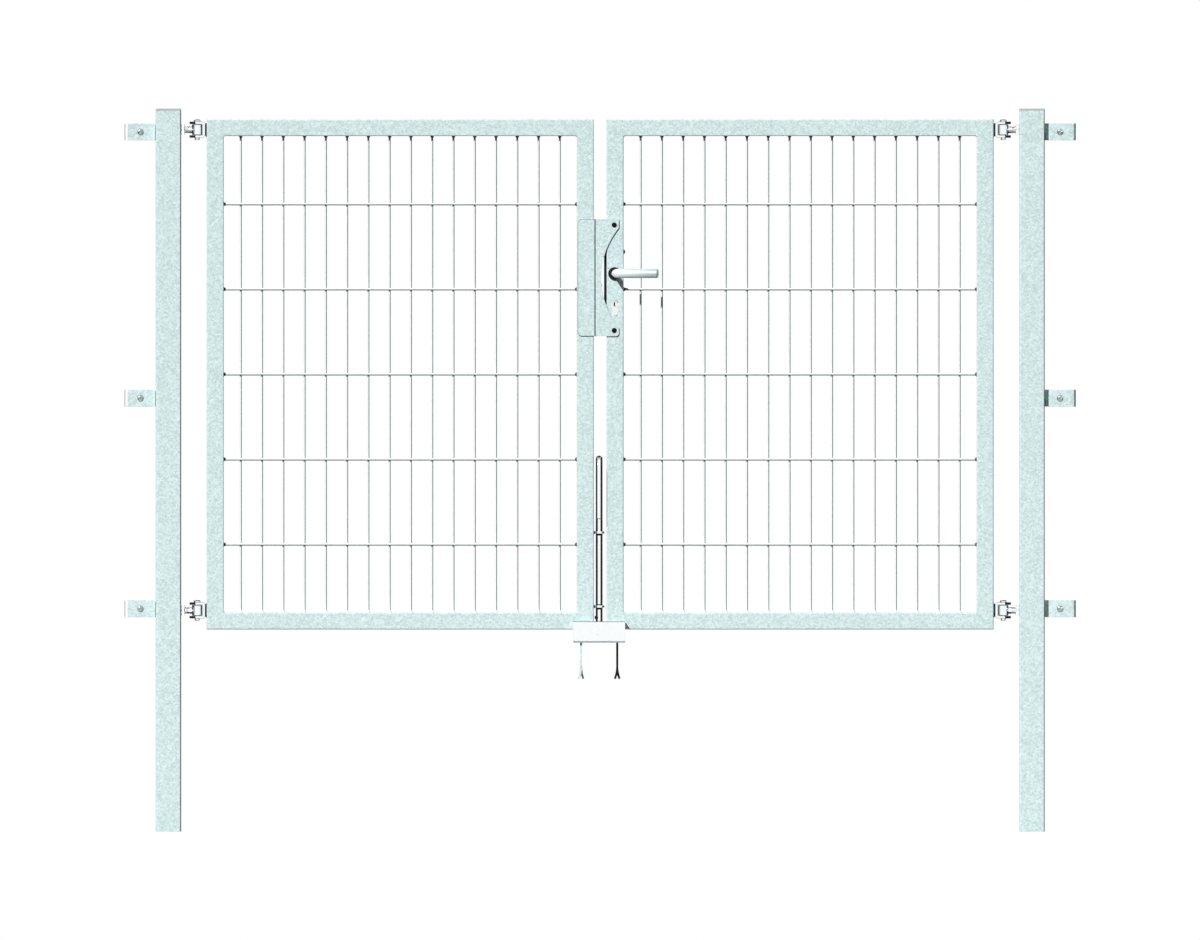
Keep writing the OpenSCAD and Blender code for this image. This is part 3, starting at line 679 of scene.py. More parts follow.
def button_head(name, foot, along, radius, tall, socket, deep):
    """The domed head of a button-head screw, seen from its flat side outwards, with its hexagon socket."""
    dome = [(tall * math.sin(math.radians(a)) * 0.86 + 0.14 * tall, radius * math.cos(math.radians(a)))
            for a in range(0, 61, 10)]
    outline = [(0, 0), (0, radius - 0.0004), (0.0004, radius), *dome[1:], (tall, radius * 0.44), (tall, 0)]
    head = turned(name, outline, foot, along, 40)
    axis = Vector(along).normalized()
    letter = "XYZ"[max(range(3), key=lambda i: abs(axis[i]))]
    past = 0.001
    middle = Vector(foot) + axis * (tall - (deep - past) / 2)
    return drill(head, six_sided("key", middle, letter, socket, deep + past))


head_foot = -0.008
head_radius, socket, socket_deep, thread_radius, thread_pitch = 0.0075, 0.005, 0.0026, 0.004, 0.00125
nut_across, nut_thick, nut_bore = 0.013, 0.0064, 0.00405
bolt_at = (bolt_out, head_foot, clamp_heights[0])
clamp_bolt = gather("clamp_bolt", [
    button_head("head", bolt_at, (0, -1, 0), head_radius, head_foot - clamp_bolt_low.y, socket, socket_deep),
    threaded("shank", bolt_at, (0, 1, 0), clamp_bolt_high.y - head_foot, thread_radius, thread_pitch),
    nut("nut", (bolt_out, tab_high.y + nut_thick / 2, clamp_heights[0]), "Y", nut_across, nut_thick, nut_bore)])
fence_bolts = gather("clamp_bolts_left", at_heights(clamp_bolt, clamp_heights))


# What plating leaves on steel: fine streaks one way, and a little clouding. Even streaks look the same every way.
even = (700.0, 700.0, 700.0)
plate_streaks, inlet, outlet = new_group("plate_streaks", (("Streak", "NodeSocketVector", even),),
                                         ("Lines", "Clouds"))
place = plate_streaks.nodes.new("ShaderNodeTexCoord").outputs["Object"]
streak = add_node(plate_streaks, "ShaderNodeMapping", {"Vector": place, "Scale": inlet.outputs["Streak"]})
lead_out(plate_streaks, outlet, Lines=noise(plate_streaks, streak.outputs["Vector"], 1.0, 5.0).outputs["Fac"],
         Clouds=noise(plate_streaks, place, 130.0, 4.0).outputs["Fac"])


def plated_finish(name, dark, light, roughness, streaks=even, metallic=1.0, shine=0.3):
    """Bright plate over steel: a clean mirror-like skin with fine streaks and clouds."""
    finish, shader, tree = new_finish(name, roughness, metallic, shine)
    plate = placed(tree, plate_streaks, "Streak", streaks)
    lines = plate.outputs["Lines"]
    coloured(tree, shader, plate.outputs["Clouds"], dark, light,
             stretched(tree, lines, 0.3, 0.7, roughness * 0.8, roughness * 1.35), lines, 0.2, 0.0001)
    return finish


bright_zinc = plated_finish("bright_zinc", (0.90, 0.94, 0.945), (0.98, 1.0, 1.0), 0.12)
plated_bolts = plated_finish("plated_bolts", (0.30, 0.34, 0.35), (0.46, 0.50, 0.51), 0.22)
across_gate = 2 * (gate_middle.x - bolt_out)
fit(copy_of(fence_bolts, "clamp_bolts_right", (across_gate, 0, 0)), "posts", "bright_zinc", plated_bolts,
    "fence_bolts_right")
fit(fence_bolts, "posts", "bright_zinc", plated_bolts, "fence_bolts_left")

# ---- Hinge eyebolts ----
# Each leaf hangs on two adjustable hinges. An M16 eyebolt goes through the post's inner wall: a forged eye with
# rounded rims, a plain neck, then thread to its end inside the post.

eye_radius, eye_bore, shank_radius = 0.012, 0.0061, 0.008
# Painted shade and reflection: a near-black skin for plated parts where they face sideways or down, away from the
# light.
worn_edge = plated_finish("worn_edge", (0.006, 0.009, 0.009), (0.030, 0.036, 0.036), 0.35, metallic=0.0, shine=0.1)
pin_x = eye_high.x - eye_radius
neck = 0.007


def fuse(piece, *others):
    """Welds solids into one."""
    for other in others:
        finish_with(piece, "BOOLEAN", object=other, operation="UNION", solver="EXACT")
        scrap(other)
    return piece


def on_side(x, way):
    """A place on the left, or with way -1 its like on the right."""
    return gate_middle.x + way * (x - gate_middle.x)


for side, way in (("left", 1), ("right", -1)):
    eyebolts, eye_x = [], on_side(pin_x, way)
    for z in hinge_heights:
        ring = [(0, eye_bore), (0, eye_radius), (eye_tall, eye_radius), (eye_tall, eye_bore), (0, eye_bore)]
        eye = turned("eye", ring, (eye_x, 0, z - eye_tall / 2), (0, 0, 1), 56)
        deburr(eye, 0.0013, 3, 60)
        collar = pin_x - eye_radius - neck
        stem = turned("neck", [(0, 0), (0, shank_radius - 0.0008), (0.0008, shank_radius), (neck, shank_radius),
                               (neck + 0.0035, shank_radius + 0.0006), (neck + 0.0035, 0)],
                      (on_side(collar, way), 0, z), (way, 0, 0), 40)
        shank = threaded("shank", (on_side(eye_low.x, way), 0, z), (way, 0, 0), collar - eye_low.x + 0.001,
                         shank_radius, 0.002, 40)
        eyebolts.append(fuse(eye, stem, shank))
    eyebolts = gather("eyebolts_" + side, eyebolts)
    # Painted shade and reflection: the eyes' rounded rims and sides, and the tops and undersides of the necks and
    # shanks, are coloured near black.
    coat(eyebolts, bright_zinc, worn_edge, lambda middle, normal: abs(middle.x - eye_x) < eye_radius + 0.0002
         and (0.15 < abs(normal.z) < 0.98 or abs(normal.x) > 0.8)
         or abs(middle.x - eye_x) > eye_radius and (normal.z < -0.45 or normal.z > 0.93))
    fit(eyebolts, "posts", "bright_zinc", bright_zinc, "hinge_eyebolts_" + side)

# ---- Hinge nuts ----
# A thin jam nut on the post's face and a full nut inside the post clamp each eyebolt.
# Turning both moves the leaf sideways, which is how the gap in the middle is set.

nut_low, nut_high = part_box("hinge_nuts_left")
jam_thick, inner_thick, nut_across, nut_bore = 0.008, 0.013, 0.024, 0.0081
hinge_nuts = []
for z in hinge_heights:
    for name, x, thick in (("jam_nut", nut_high.x - jam_thick / 2, jam_thick),
                           ("inner_nut", nut_low.x + inner_thick / 2, inner_thick)):
        hinge_nuts.append(nut(name, (x, 0, z), "X", nut_across, thick, nut_bore))
hinge_nuts = gather("hinge_nuts_inner_and_jam_left", hinge_nuts)
# Painted shade: the nuts' chamfers are coloured near black.
coat(hinge_nuts, bright_zinc, worn_edge, lambda middle, normal: 0.3 < abs(normal.x) < 0.98)
fit_pair(hinge_nuts, "posts", "bright_zinc", bright_zinc, "hinge_nuts_left")

# ---- Clevises ----
# A strip of 6 mm steel, bent into a fork with round arms, holds each eye. It stands on a narrower pad
# that is welded to the leaf's hinge stile.

clevis_low, clevis_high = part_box("left_clevises")
fork_thick, fork_bend, arm_middle = 0.006, 0.0045, 0.016
half_wide = clevis_high.y
pad_thick, pad_half_wide, pad_half_tall, pin_hole, past_fork = 0.0035, 0.011, 0.0155, 0.00605, 0.03
side_half, end_half = 0.012, 0.009
back_x = clevis_high.x - pad_thick
bend_x = back_x - fork_thick / 2 - fork_bend


def slants(normal):
    """True for the face of a bevel, which looks along no axis."""
    return max(abs(part) for part in normal) < 0.98


z = hinge_heights[0]
upright = 2 * (arm_middle - fork_bend)
fork = bent_plate("fork", (clevis_low.x, -half_wide, z + arm_middle), (clevis_low.x, half_wide, z + arm_middle),
                  [(bend_x - clevis_low.x, 0, 0), ((bend_x, 0, z + upright / 2), (0, 1, 0), 90), (0, 0, -upright),
                   ((bend_x, 0, z - upright / 2), (0, 1, 0), 90), (clevis_low.x - bend_x, 0, 0)],
                  fork_thick, smooth_edge=None)
round_edges(fork, half_wide * 0.995, 14,
            lambda a, b: runs_along(a, b, 2) and a.x < clevis_low.x + 0.0001 and abs(a.y) > half_wide - 0.0001)
deburr(fork, 0.0007, 3, 45)
drill(fork, rod("drill", (pin_x, 0, z - past_fork), (pin_x, 0, z + past_fork), pin_hole, 40))
pad = block("pad", (back_x, -pad_half_wide, z - pad_half_tall), (clevis_high.x, pad_half_wide, z + pad_half_tall))
deburr(pad, 0.0005, 2)
fork = gather("clevis", [fork, pad])
forks = gather("clevises_left", at_heights(fork, hinge_heights))
# Painted shade: the forks' bevelled edges along their round ends, and the pads behind them, are coloured near
# black.
coat(forks, bright_zinc, worn_edge, lambda middle, normal: slants(normal) and abs(normal.y) > 0.15
     or middle.x > back_x + 0.0002)
fit_pair(forks, "left_leaf", "bright_zinc", bright_zinc, "left_clevises")

pad_welds = []
for z in hinge_heights:
    for edge in (-1, 1):
        y, over = edge * pad_half_wide, edge * pad_half_tall
        pad_welds.append(weld_run("weld", (clevis_high.x, y, z - side_half), (clevis_high.x, y, z + side_half),
                                  0.0021))
        if z == hinge_heights[0] or edge < 0:
            pad_welds.append(weld_run("weld", (clevis_high.x, -end_half, z + over),
                                      (clevis_high.x, end_half, z + over), 0.0019))
pad_welds = gather("clevis_welds_left", pad_welds)
# Painted shade: a near-black zinc for welds, standing in for the shade they sit in.
painted_shade_weld = galvanised_finish("painted_shade_weld", (0.05, 0.065, 0.065), (0.14, 0.17, 0.17), 0.1, 0.45, 0.7, 300.0)
fit_pair(pad_welds, "left_leaf", "galvanised", painted_shade_weld)

# ---- Hinge pins ----
# A 12 mm steel pin drops through each fork and eye. Its low domed head rests on the upper arm,
# and its chamfered end shows under the lower one.

pin_low, pin_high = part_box("left_hinge_pins")
pin_radius, head_radius, head_tall = 0.006, 0.008, 0.005
pin_long = pin_high.z - (hinge_heights[1] - (hinge_heights[0] - pin_low.z))
pin = turned("pin", [(0, 0), (0, pin_radius - 0.001), (0.001, pin_radius), (0.0028, pin_radius),
                     (0.0030, pin_radius - 0.0005), (0.0040, pin_radius - 0.0005), (0.0042, pin_radius),
                     (pin_long - head_tall, pin_radius), (pin_long - head_tall, head_radius - 0.0003),
                     (pin_long - head_tall + 0.0003, head_radius), (pin_long - 0.0022, head_radius),
                     (pin_long - 0.0011, head_radius * 0.93), (pin_long - 0.0003, head_radius * 0.72),
                     (pin_long, head_radius * 0.4), (pin_long, 0)],
             (pin_x, 0, pin_low.z), (0, 0, 1), 40)
pins = gather("hinge_pins_left", at_heights(pin, hinge_heights))
# Painted shade: the pins' rims and chamfers, and their ends underneath, are coloured near black.
coat(pins, bright_zinc, worn_edge, lambda middle, normal: 0.3 < abs(normal.z) < 0.98 or normal.z < -0.98)
fit_pair(pins, "left_leaf", "bright_zinc", bright_zinc, "left_hinge_pins")

# ---- Leaf frames ----
# Each leaf's frame is four lengths of 40 mm square tube, mitred and welded at the corners, then galvanised whole.
# The welds on the faces are ground nearly flush, and those in the inner corners are left as beads.

leaf_low, leaf_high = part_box("left_hinge_stile")[0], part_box("left_meeting_stile")[1]
tube_side, tube_round = 0.040, 0.003


def tube(name, low, high, axis, cuts):
    """A length of square tube with rounded corners, cut off at a slant by each plane in turn."""
    bar = block(name, low, high)
    round_edges(bar, tube_round, 6, lambda a, b: runs_along(a, b, axis))
    for corner, outward in cuts:
        take(bar)
        open_up()
        bpy.ops.mesh.bisect(plane_co=corner, plane_no=outward, use_fill=True, clear_outer=True, threshold=0.000001)
        bpy.ops.object.mode_set(mode="OBJECT")
    return bar


x0, z0, x1, z1 = leaf_low.x, leaf_low.z, leaf_high.x, leaf_high.z
y0, y1 = leaf_low.y, leaf_high.y
lower_left, upper_left = (x0, 0, z0), (x0, 0, z1)
lower_right, upper_right = (x1, 0, z0), (x1, 0, z1)
tubes = {
    "hinge_stile": tube("tube", leaf_low, (x0 + tube_side, y1, z1), 2,
                        [(lower_left, (1, 0, -1)), (upper_left, (1, 0, 1))]),
    "meeting_stile": tube("tube", (x1 - tube_side, y0, z0), leaf_high, 2,
                          [(lower_right, (-1, 0, -1)), (upper_right, (-1, 0, 1))]),
    "bottom_rail": tube("tube", leaf_low, (x1, y1, z0 + tube_side), 0,
                        [(lower_left, (-1, 0, 1)), (lower_right, (1, 0, 1))]),
    "top_rail": tube("tube", (x0, y0, z1 - tube_side), leaf_high, 0,
                     [(upper_left, (-1, 0, -1)), (upper_right, (1, 0, -1))]),
}
cylinder_low, cylinder_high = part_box("lock_cylinder")
rose_low, rose_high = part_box("rosettes")
spindle_x, spindle_z = (rose_low.x + rose_high.x) / 2, (rose_low.z + rose_high.z) / 2
cylinder_radius, cylinder_web = 0.0085, 0.005


def euro_profile(name, front, back, grow=0.0, off=0.0):
    """The outline of a profile cylinder from front to back: a round barrel over a narrower web with a round foot.
    grow makes it wider, and off moves it to the right and down."""
    top, foot = cylinder_high.z - cylinder_radius, cylinder_low.z + cylinder_web
    half = cylinder_web + grow
    web = block("web", (spindle_x - half, front, foot), (spindle_x + half, back, top))
    barrel = rod("barrel", (spindle_x, front, top), (spindle_x, back, top), cylinder_radius + grow)
    round_foot = rod("round_foot", (spindle_x, front, foot), (spindle_x, back, foot), cylinder_web + grow, 40)
    shape = fuse(barrel, web, round_foot)
    shape.name = shape.data.name = name
    open_up()
    bpy.ops.transform.translate(value=(off, 0, -off))
    bpy.ops.object.mode_set(mode="OBJECT")
    return shape


for part, bar in tubes.items():
    twin = mirrored(bar, "right_" + part + "_tube")
    bar.name = bar.data.name = "left_" + part + "_tube"
    fit(bar, "left_leaf", "galvanised", galvanised, "left_" + part)
    if part == "meeting_stile":
        drill(twin, rod("drill", (spindle_x, -0.03, spindle_z), (spindle_x, 0.03, spindle_z), 0.009),
              euro_profile("slot", -0.03, 0.03, 0.0013, 0.0007))
    fit(twin, "right_leaf", "galvanised", galvanised, "right_" + part)

corner_welds, from_corner, from_face = [], 0.003, 0.004
for corner, across, up in ((lower_left, 1, 1), (upper_left, 1, -1), (lower_right, -1, 1), (upper_right, -1, -1)):
    near = Vector((corner[0] + across * from_corner, 0, corner[2] + up * from_corner))
    far = Vector((corner[0] + across * tube_side, 0, corner[2] + up * tube_side))
    for y in (y0, y1):
        seam = Vector((0, y, 0))
        corner_welds.append(weld_run("seam", near + seam, far + seam, 0.0024, pitch=0.003, flat=(1, 0.12)))
    first, last = (far + Vector((0, y, 0)) for y in (y0 + from_face, y1 - from_face))
    corner_welds.append(weld_run("weld", first, last, 0.0026))
fit_pair(gather("left_corner_welds", corner_welds), "left_leaf", "galvanised", galvanised)

# ---- Wire mesh ----
# Double-wire mesh fills each leaf: round uprights at 50 mm between pairs of thicker level wires at 200 mm.
# Every crossing is resistance welded, and every wire's end is welded to the frame with a small collar of metal.

upright_radius, level_radius = 0.0025, 0.003
wire_pitch, row_pitch = 0.050, 0.200
level_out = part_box("left_mesh")[1].y - level_radius
inner_left, inner_right = x0 + tube_side, x1 - tube_side
inner_low, inner_high = z0 + tube_side, z1 - tube_side
uprights = int((inner_right - inner_left - 0.03) / wire_pitch) + 1
rows = int((inner_high - inner_low) / row_pitch)
first_upright = (inner_left + inner_right - (uprights - 1) * wire_pitch) / 2
first_row = (inner_low + inner_high - (rows - 1) * row_pitch) / 2


def row_of(piece, count, step):
    """The same again and again, a step apart."""
    return finish_with(piece, "ARRAY", count=count, use_relative_offset=False, use_constant_offset=True,
                       constant_offset_displace=step)


def end_collar(foot, along, radius):
    """The weld round a wire's end: wide at the frame, then drawn in to the wire."""
    return turned("collar", [(-0.0005, 0), (-0.0005, radius + 0.0026), (0.0004, radius + 0.0024),
                             (0.0016, radius + 0.0013), (0.0032, radius + 0.0005), (0.0052, radius - 0.0001),
                             (0.0052, 0)], foot, along, 12)


into_tube = 0.001
wire = rod("wire", (first_upright, 0, inner_low - into_tube), (first_upright, 0, inner_high + into_tube),
           upright_radius, 16)
wires = [row_of(wire, uprights, (wire_pitch, 0, 0))]
for y in (-level_out, level_out):
    wire = rod("wire", (inner_left - into_tube, y, first_row), (inner_right + into_tube, y, first_row),
               level_radius, 16)
    wires.append(row_of(wire, rows, (0, 0, row_pitch)))
wires = gather("left_wires", wires)
# Painted light and shade: each wire is coloured light on the side that the lamp reaches and dark on the other.
bright_wire = galvanised_finish("bright_wire", (0.84, 0.90, 0.90), (0.95, 0.99, 0.99), 0.1, 0.4, 0.6, 300.0)
painted_shade_zinc = galvanised_finish("painted_shade_zinc", (0.29, 0.35, 0.34), (0.41, 0.48, 0.47), 0.1, 0.4, 0.6, 300.0)
for side, mesh_wires in (("right", mirrored(wires, "right_wires")), ("left", wires)):
    coat(mesh_wires, bright_wire, painted_shade_zinc, lambda middle, normal: normal.x > 0.1
         or normal.z < 0.05 and abs(normal.x) < 0.05 and abs(middle.y) > upright_radius)
    fit(mesh_wires, side + "_leaf", "galvanised", bright_wire, side + "_mesh")

wire_welds = [row_of(end_collar((first_upright, 0, z), (0, 0, way), upright_radius), uprights, (wire_pitch, 0, 0))
              for z, way in ((inner_low, 1), (inner_high, -1))]
wire_welds += [row_of(end_collar((x, y, first_row), (way, 0, 0), level_radius), rows, (0, 0, row_pitch))
               for x, way in ((inner_left, 1), (inner_right, -1)) for y in (-level_out, level_out)]
for side in (-1, 1):
    let_go()
    bpy.ops.mesh.primitive_uv_sphere_add(segments=10, ring_count=6, radius=1,
                                         location=(first_upright, side * upright_radius, first_row),
                                         scale=(0.0034, 0.0015, 0.0038))
    nugget = named("nugget")
    row_of(nugget, uprights, (wire_pitch, 0, 0))
    wire_welds.append(row_of(nugget, rows, (0, 0, row_pitch)))
wire_welds = gather("left_wire_welds", wire_welds)
# Painted shade: the weld collars and crossing nuggets are coloured near black, except the collars at the bottom
# rail, which get the wires' painted lit colour.
coat(wire_welds, painted_shade_weld, bright_wire, lambda middle, normal: middle.z < inner_low + 0.01)
fit_pair(wire_welds, "left_leaf", "galvanised", painted_shade_weld, smooth=60)

# ---- Keep ----
# A 3 mm steel angle on the left leaf's meeting stile: its flange lies over the stile's face, its outer corners
# rounded, and its web lines the stile's side. Stitch welds behind hold it, and it is galvanised with the leaf.

keep_low, keep_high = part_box("keep")
stop_low, stop_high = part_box("stop_plate")
keep_thick, keep_corner, stop_corner = 0.003, 0.010, 0.007
keep_middle = (keep_low.z + keep_high.z) / 2

keep_y = keep_low.y + keep_thick / 2
fold_y = keep_low.y + keep_thick
keep_angle = bent_plate("keep_angle", (keep_low.x, keep_y, keep_low.z), (keep_low.x, keep_y, keep_high.z),
                        [(leaf_high.x - keep_low.x, 0, 0), ((leaf_high.x, fold_y, keep_low.z), (0, 0, 1), 90),
                         (0, keep_high.y - fold_y, 0)], keep_thick, smooth_edge=None)
round_edges(keep_angle, keep_corner, 8, lambda a, b: runs_along(a, b, 1) and a.x < keep_low.x + hair)
round_edges(keep_angle, 0.0010, 2, lambda a, b: max(a.y, b.y) < keep_low.y + hair
            and min(a.x, b.x) < leaf_high.x - 0.001)
deburr(keep_angle, 0.0005, 2, 50)
# Painted shade: the keep's bevelled rim and its bend into the groove beside the stop plate are coloured dark.
coat(keep_angle, galvanised, painted_deep_shade_zinc, lambda middle, normal: slants(normal) and middle.x < leaf_high.x - 0.0005
     or middle.y < fold_y and normal.x > 0.55)
fit(keep_angle, "left_leaf", "galvanised", galvanised, "keep")

# ---- Stop plate ----
# A channel welded to the keep's web. Its front plate reaches past the gap and stops the right stile,
# with a curved recess for the hand at the lever, and its rear lip has a window for the lock's latch.

stop_y = stop_low.y + keep_thick / 2
fold_x = stop_low.x + keep_thick
front_fold, rear_fold = stop_low.y + keep_thick, stop_high.y - keep_thick
recess_radius, recess_start = 0.187, gate_middle.x + 0.0024
recess_x, before_plate, behind_plate = recess_start + recess_radius, -0.03, -0.0205
window_low, window_high = keep_middle - 0.0135, keep_middle + 0.0365
buffer_low, buffer_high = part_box("stop_buffers")
buffer_x, buffer_off = (buffer_low.x + buffer_high.x) / 2, (buffer_high.z - buffer_low.z) / 2 - 0.006

stop_channel = bent_plate("stop_channel", (stop_high.x, stop_y, stop_low.z), (stop_high.x, stop_y, stop_high.z),
                          [(fold_x - stop_high.x, 0, 0), ((fold_x, front_fold, stop_low.z), (0, 0, 1), -90),
                           (0, rear_fold - front_fold, 0), ((fold_x, rear_fold, stop_low.z), (0, 0, 1), -90),
                           (0.013, 0, 0)], keep_thick, smooth_edge=None)
round_edges(stop_channel, stop_corner, 8, lambda a, b: runs_along(a, b, 1) and a.x > stop_high.x - hair
            and a.z < stop_low.z + hair)
drill(stop_channel,
      rod("drill", (recess_x, before_plate, keep_middle), (recess_x, behind_plate, keep_middle),
          recess_radius, 240),
      block("punch", (fold_x + 0.0005, 0.012, window_low), (fold_x + 0.03, 0.025, window_high)),
      *[rod("drill", (buffer_x, before_plate, z), (buffer_x, behind_plate, z), 0.0041)
        for z in (keep_middle - buffer_off, keep_middle + buffer_off)])
deburr(stop_channel, 0.0005, 2, 50)
# Painted shade: the front plate's bevelled rims, its bend into the groove beside the keep and the inner face of
# the rear lip, behind the front plate, are coloured dark.
coat(stop_channel, galvanised, painted_deep_shade_zinc, lambda middle, normal: slants(normal) and middle.x > fold_x
     or middle.y < front_fold and normal.x < -0.55 or middle.y > 0 and normal.y < -0.9)
fit(stop_channel, "left_leaf", "galvanised", galvanised, "stop_plate")

stitches = [weld_run("stitch", (x, keep_high.y - 0.0004, z), (x, keep_high.y - 0.0004, z + 0.022), 0.0018,
                     flat=(1, 0.7))
            for x in (leaf_high.x, stop_low.x)
            for z in (keep_low.z + 0.010, keep_middle - 0.045, keep_middle + 0.060, keep_high.z - 0.032)]
fit(gather("keep_stitch_welds", stitches), "left_leaf", "galvanised", galvanised)

# ---- Stop buffers ----
# Black rubber buttons pushed through the stop plate. The stile meets their ends, so the gate shuts without a bang.

stem = buffer_high.y - stop_low.y
tall = buffer_high.y - buffer_low.y
outline = [(0, 0), (0, 0.0034), (0.0006, 0.004), (stem, 0.004), (stem, 0.0056), (stem + 0.0004, 0.006),
           (stem + 0.0009, 0.00595), (stem + 0.0014, 0.0055), (tall - 0.0002, 0.0042), (tall, 0.0026), (tall, 0)]
button = turned("button", outline, (buffer_x, buffer_high.y, keep_middle - buffer_off), (0, -1, 0), 40)
rubber = moulded_finish("rubber", (0.004, 0.004, 0.004), (0.010, 0.010, 0.010), 0.6, 0.85, 900.0, 0.0002, 0.08)
fit(gather("rubber_buttons", at_heights(button, (0, 2 * buffer_off))), "left_leaf", "rubber",
    rubber, "stop_buffers")

# ---- Lock ----
# A mortice lock sits in the right stile. Its black faceplate lies on the stile's edge with two countersunk screws,
# and shows the latch and the bolt in their windows. A domed screw in the stile's inner side holds the case.

face_low, face_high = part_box("lock_faceplate")
screw_low, screw_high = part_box("lock_screw")
latch_half_wide, latch_half_tall, latch_gap, latch_out = 0.007, 0.010, 0.0003, 0.0004
latch_z, bolt_z = keep_middle + 0.025, keep_middle - 0.001
face_screws = face_low.z + 0.007, face_high.z - 0.007

faceplate = block("faceplate", face_low, face_high)
round_edges(faceplate, 0.003, 6, lambda a, b: runs_along(a, b, 0))
round_edges(faceplate, 0.0006, 3, lambda a, b: max(a.x, b.x) < face_low.x + hair)
drill(faceplate, *[block("window", (face_low.x - 0.001, -latch_half_wide, z - latch_half_tall),
                         (face_low.x + 0.004, latch_half_wide, z + latch_half_tall)) for z in (latch_z, bolt_z)],
      *[turned("countersink", [(-0.0001, 0), (-0.0001, 0.0042), (0.0032, 0.0018), (0.0032, 0)],
               (face_low.x, 0, z), (1, 0, 0), 32) for z in face_screws])
black_plastic = moulded_finish("black_plastic", (0.005, 0.006, 0.006), (0.012, 0.013, 0.013), 0.38, 0.6,
                               1500.0, 0.00012, 0.12)
fit(faceplate, "right_leaf", "black_plastic", black_plastic, "lock_faceplate")

nickel = plated_finish("nickel", (0.84, 0.88, 0.885), (0.94, 0.965, 0.97), 0.2, (900.0, 60.0, 900.0))
case_parts = []
for z, slant in ((latch_z, 0.0030), (bolt_z, 0.0004)):
    tongue = block("tongue",
                   (face_low.x + latch_out, -latch_half_wide + latch_gap, z - latch_half_tall + latch_gap),
                   (face_low.x + 0.0036, latch_half_wide - latch_gap, z + latch_half_tall - latch_gap))
    round_edges(tongue, slant, 3, lambda a, b: runs_along(a, b, 2) and a.x < face_low.x + 0.001 and a.y > 0)
    case_parts.append(deburr(tongue, 0.0003, 2, 40))
for z in face_screws:
    head = turned("face_screw", [(0, 0), (0, 0.0034), (0.0003, 0.0036), (0.0026, 0.0019), (0.0026, 0)],
                  (face_low.x + 0.0003, 0, z), (1, 0, 0), 32)
    for wide, tall in ((0.002, 0.0004), (0.0004, 0.002)):
        drill(head, block("cross", (face_low.x, -wide, z - tall), (face_low.x + 0.0013, wide, z + tall)))
    case_parts.append(head)
fit(gather("latch_bolt_and_screws", case_parts), "right_leaf", "nickel", nickel)

screw_z = (screw_low.z + screw_high.z) / 2
inner_side = 2 * gate_middle.x - inner_right
case_screw = button_head("dome", (inner_side, 0, screw_z), (1, 0, 0), 0.0053, screw_high.x - inner_side,
                         0.003, 0.0018)
screw_shank = rod("shank", (screw_low.x, 0, screw_z), (inner_side + 0.0002, 0, screw_z), 0.003, 24)
fit(gather("case_screw", [case_screw, screw_shank]), "right_leaf", "black_plastic", black_plastic, "lock_screw")


def hidden(node, material):
    """Gives a piece that is mostly out of sight, and kept as it is, its finish."""
    materials = frame["nodes"][node].data.materials
    materials.clear()
    materials.append(material)


# Painted shade: the hidden lock case is coloured dark, so the gap round the cylinder looks shaded.
hidden("lock_case", painted_deep_shade_zinc)

# ---- Lock cylinder ----
# A profile cylinder through the stile, proud of it by 4 mm on both sides. Each end shows the round plug
# with its keyway, and the pin holes' brass tips stay hidden inside.

cylinder = euro_profile("profile_cylinder", cylinder_low.y, cylinder_high.y)
deburr(cylinder, 0.0004, 2, 50)
plug_z, plug_radius, plug_gap = cylinder_high.z - cylinder_radius, 0.0064, 0.0003
for y, way in ((cylinder_low.y, 1), (cylinder_high.y, -1)):
    outer, front, back = plug_radius + plug_gap, -0.001, 0.0005
    ring = turned("ring", [(front, plug_radius), (front, outer), (back, outer), (back, plug_radius),
                           (front, plug_radius)], (spindle_x, y, plug_z), (0, way, 0), 48)
    near, far = sorted((y - way * 0.001, y + way * 0.006))
    keyway = block("keyway", (spindle_x - 0.0015, near, plug_z - 0.0050),
                   (spindle_x + 0.0015, far, plug_z + 0.0046))
    ward = block("ward", (spindle_x - 0.0026, near, plug_z - 0.0016), (spindle_x, far, plug_z - 0.0002))
    drill(cylinder, ring, keyway, ward)
# Painted shade: the cylinder's sides and its sunken faces, the keyways and the rings round the plugs, are coloured
# near black.
coat(cylinder, nickel, worn_edge, lambda middle, normal: abs(normal.y) < 0.98
     or abs(middle.y) < cylinder_high.y - 0.0004)
fit(cylinder, "right_leaf", "nickel", nickel, "lock_cylinder")

# ---- Roses ----
# Two round black roses cover the spindle's holes, one on each face of the stile, with softly rounded rims.

rose_radius, rose_bore = (rose_high.x - rose_low.x) / 2, 0.0061
rose_thick = leaf_low.y - rose_low.y
roses = [turned("rose", [(0, rose_bore), (0, rose_radius), (rose_thick - 0.0018, rose_radius),
                         (rose_thick - 0.0009, rose_radius - 0.0003), (rose_thick - 0.0002, rose_radius - 0.0010),
                         (rose_thick, rose_radius - 0.0020), (rose_thick, rose_bore), (0, rose_bore)],
                (spindle_x, way * tube_side / 2, spindle_z), (0, way, 0), 64) for way in (-1, 1)]
fit(gather("round_roses", roses), "right_leaf", "black_plastic", black_plastic, "rosettes")

# ---- Lever handles ----
# A forged aluminium lever on each side: a thin neck out from the rose, a bend that widens to the round grip, and
# the grip leaning a little outwards to its flat end. They are satin anodised, and turn with the spindle.

lever_low, lever_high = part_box("lever_front")
lever_radius = (lever_high.z - lever_low.z) / 2 - 0.00004
lever_bend, lever_turn, neck_long, neck_radius, end_round = 0.018, 77, 0.044, 0.0063, 0.003
lean = math.radians(lever_turn - 90)
bend_far = spindle_x + lever_bend * (1 - math.cos(math.radians(lever_turn)))
grip = (lever_high.x - end_round - bend_far + (lever_radius - end_round) * math.sin(lean)) / math.cos(lean)
grip += end_round

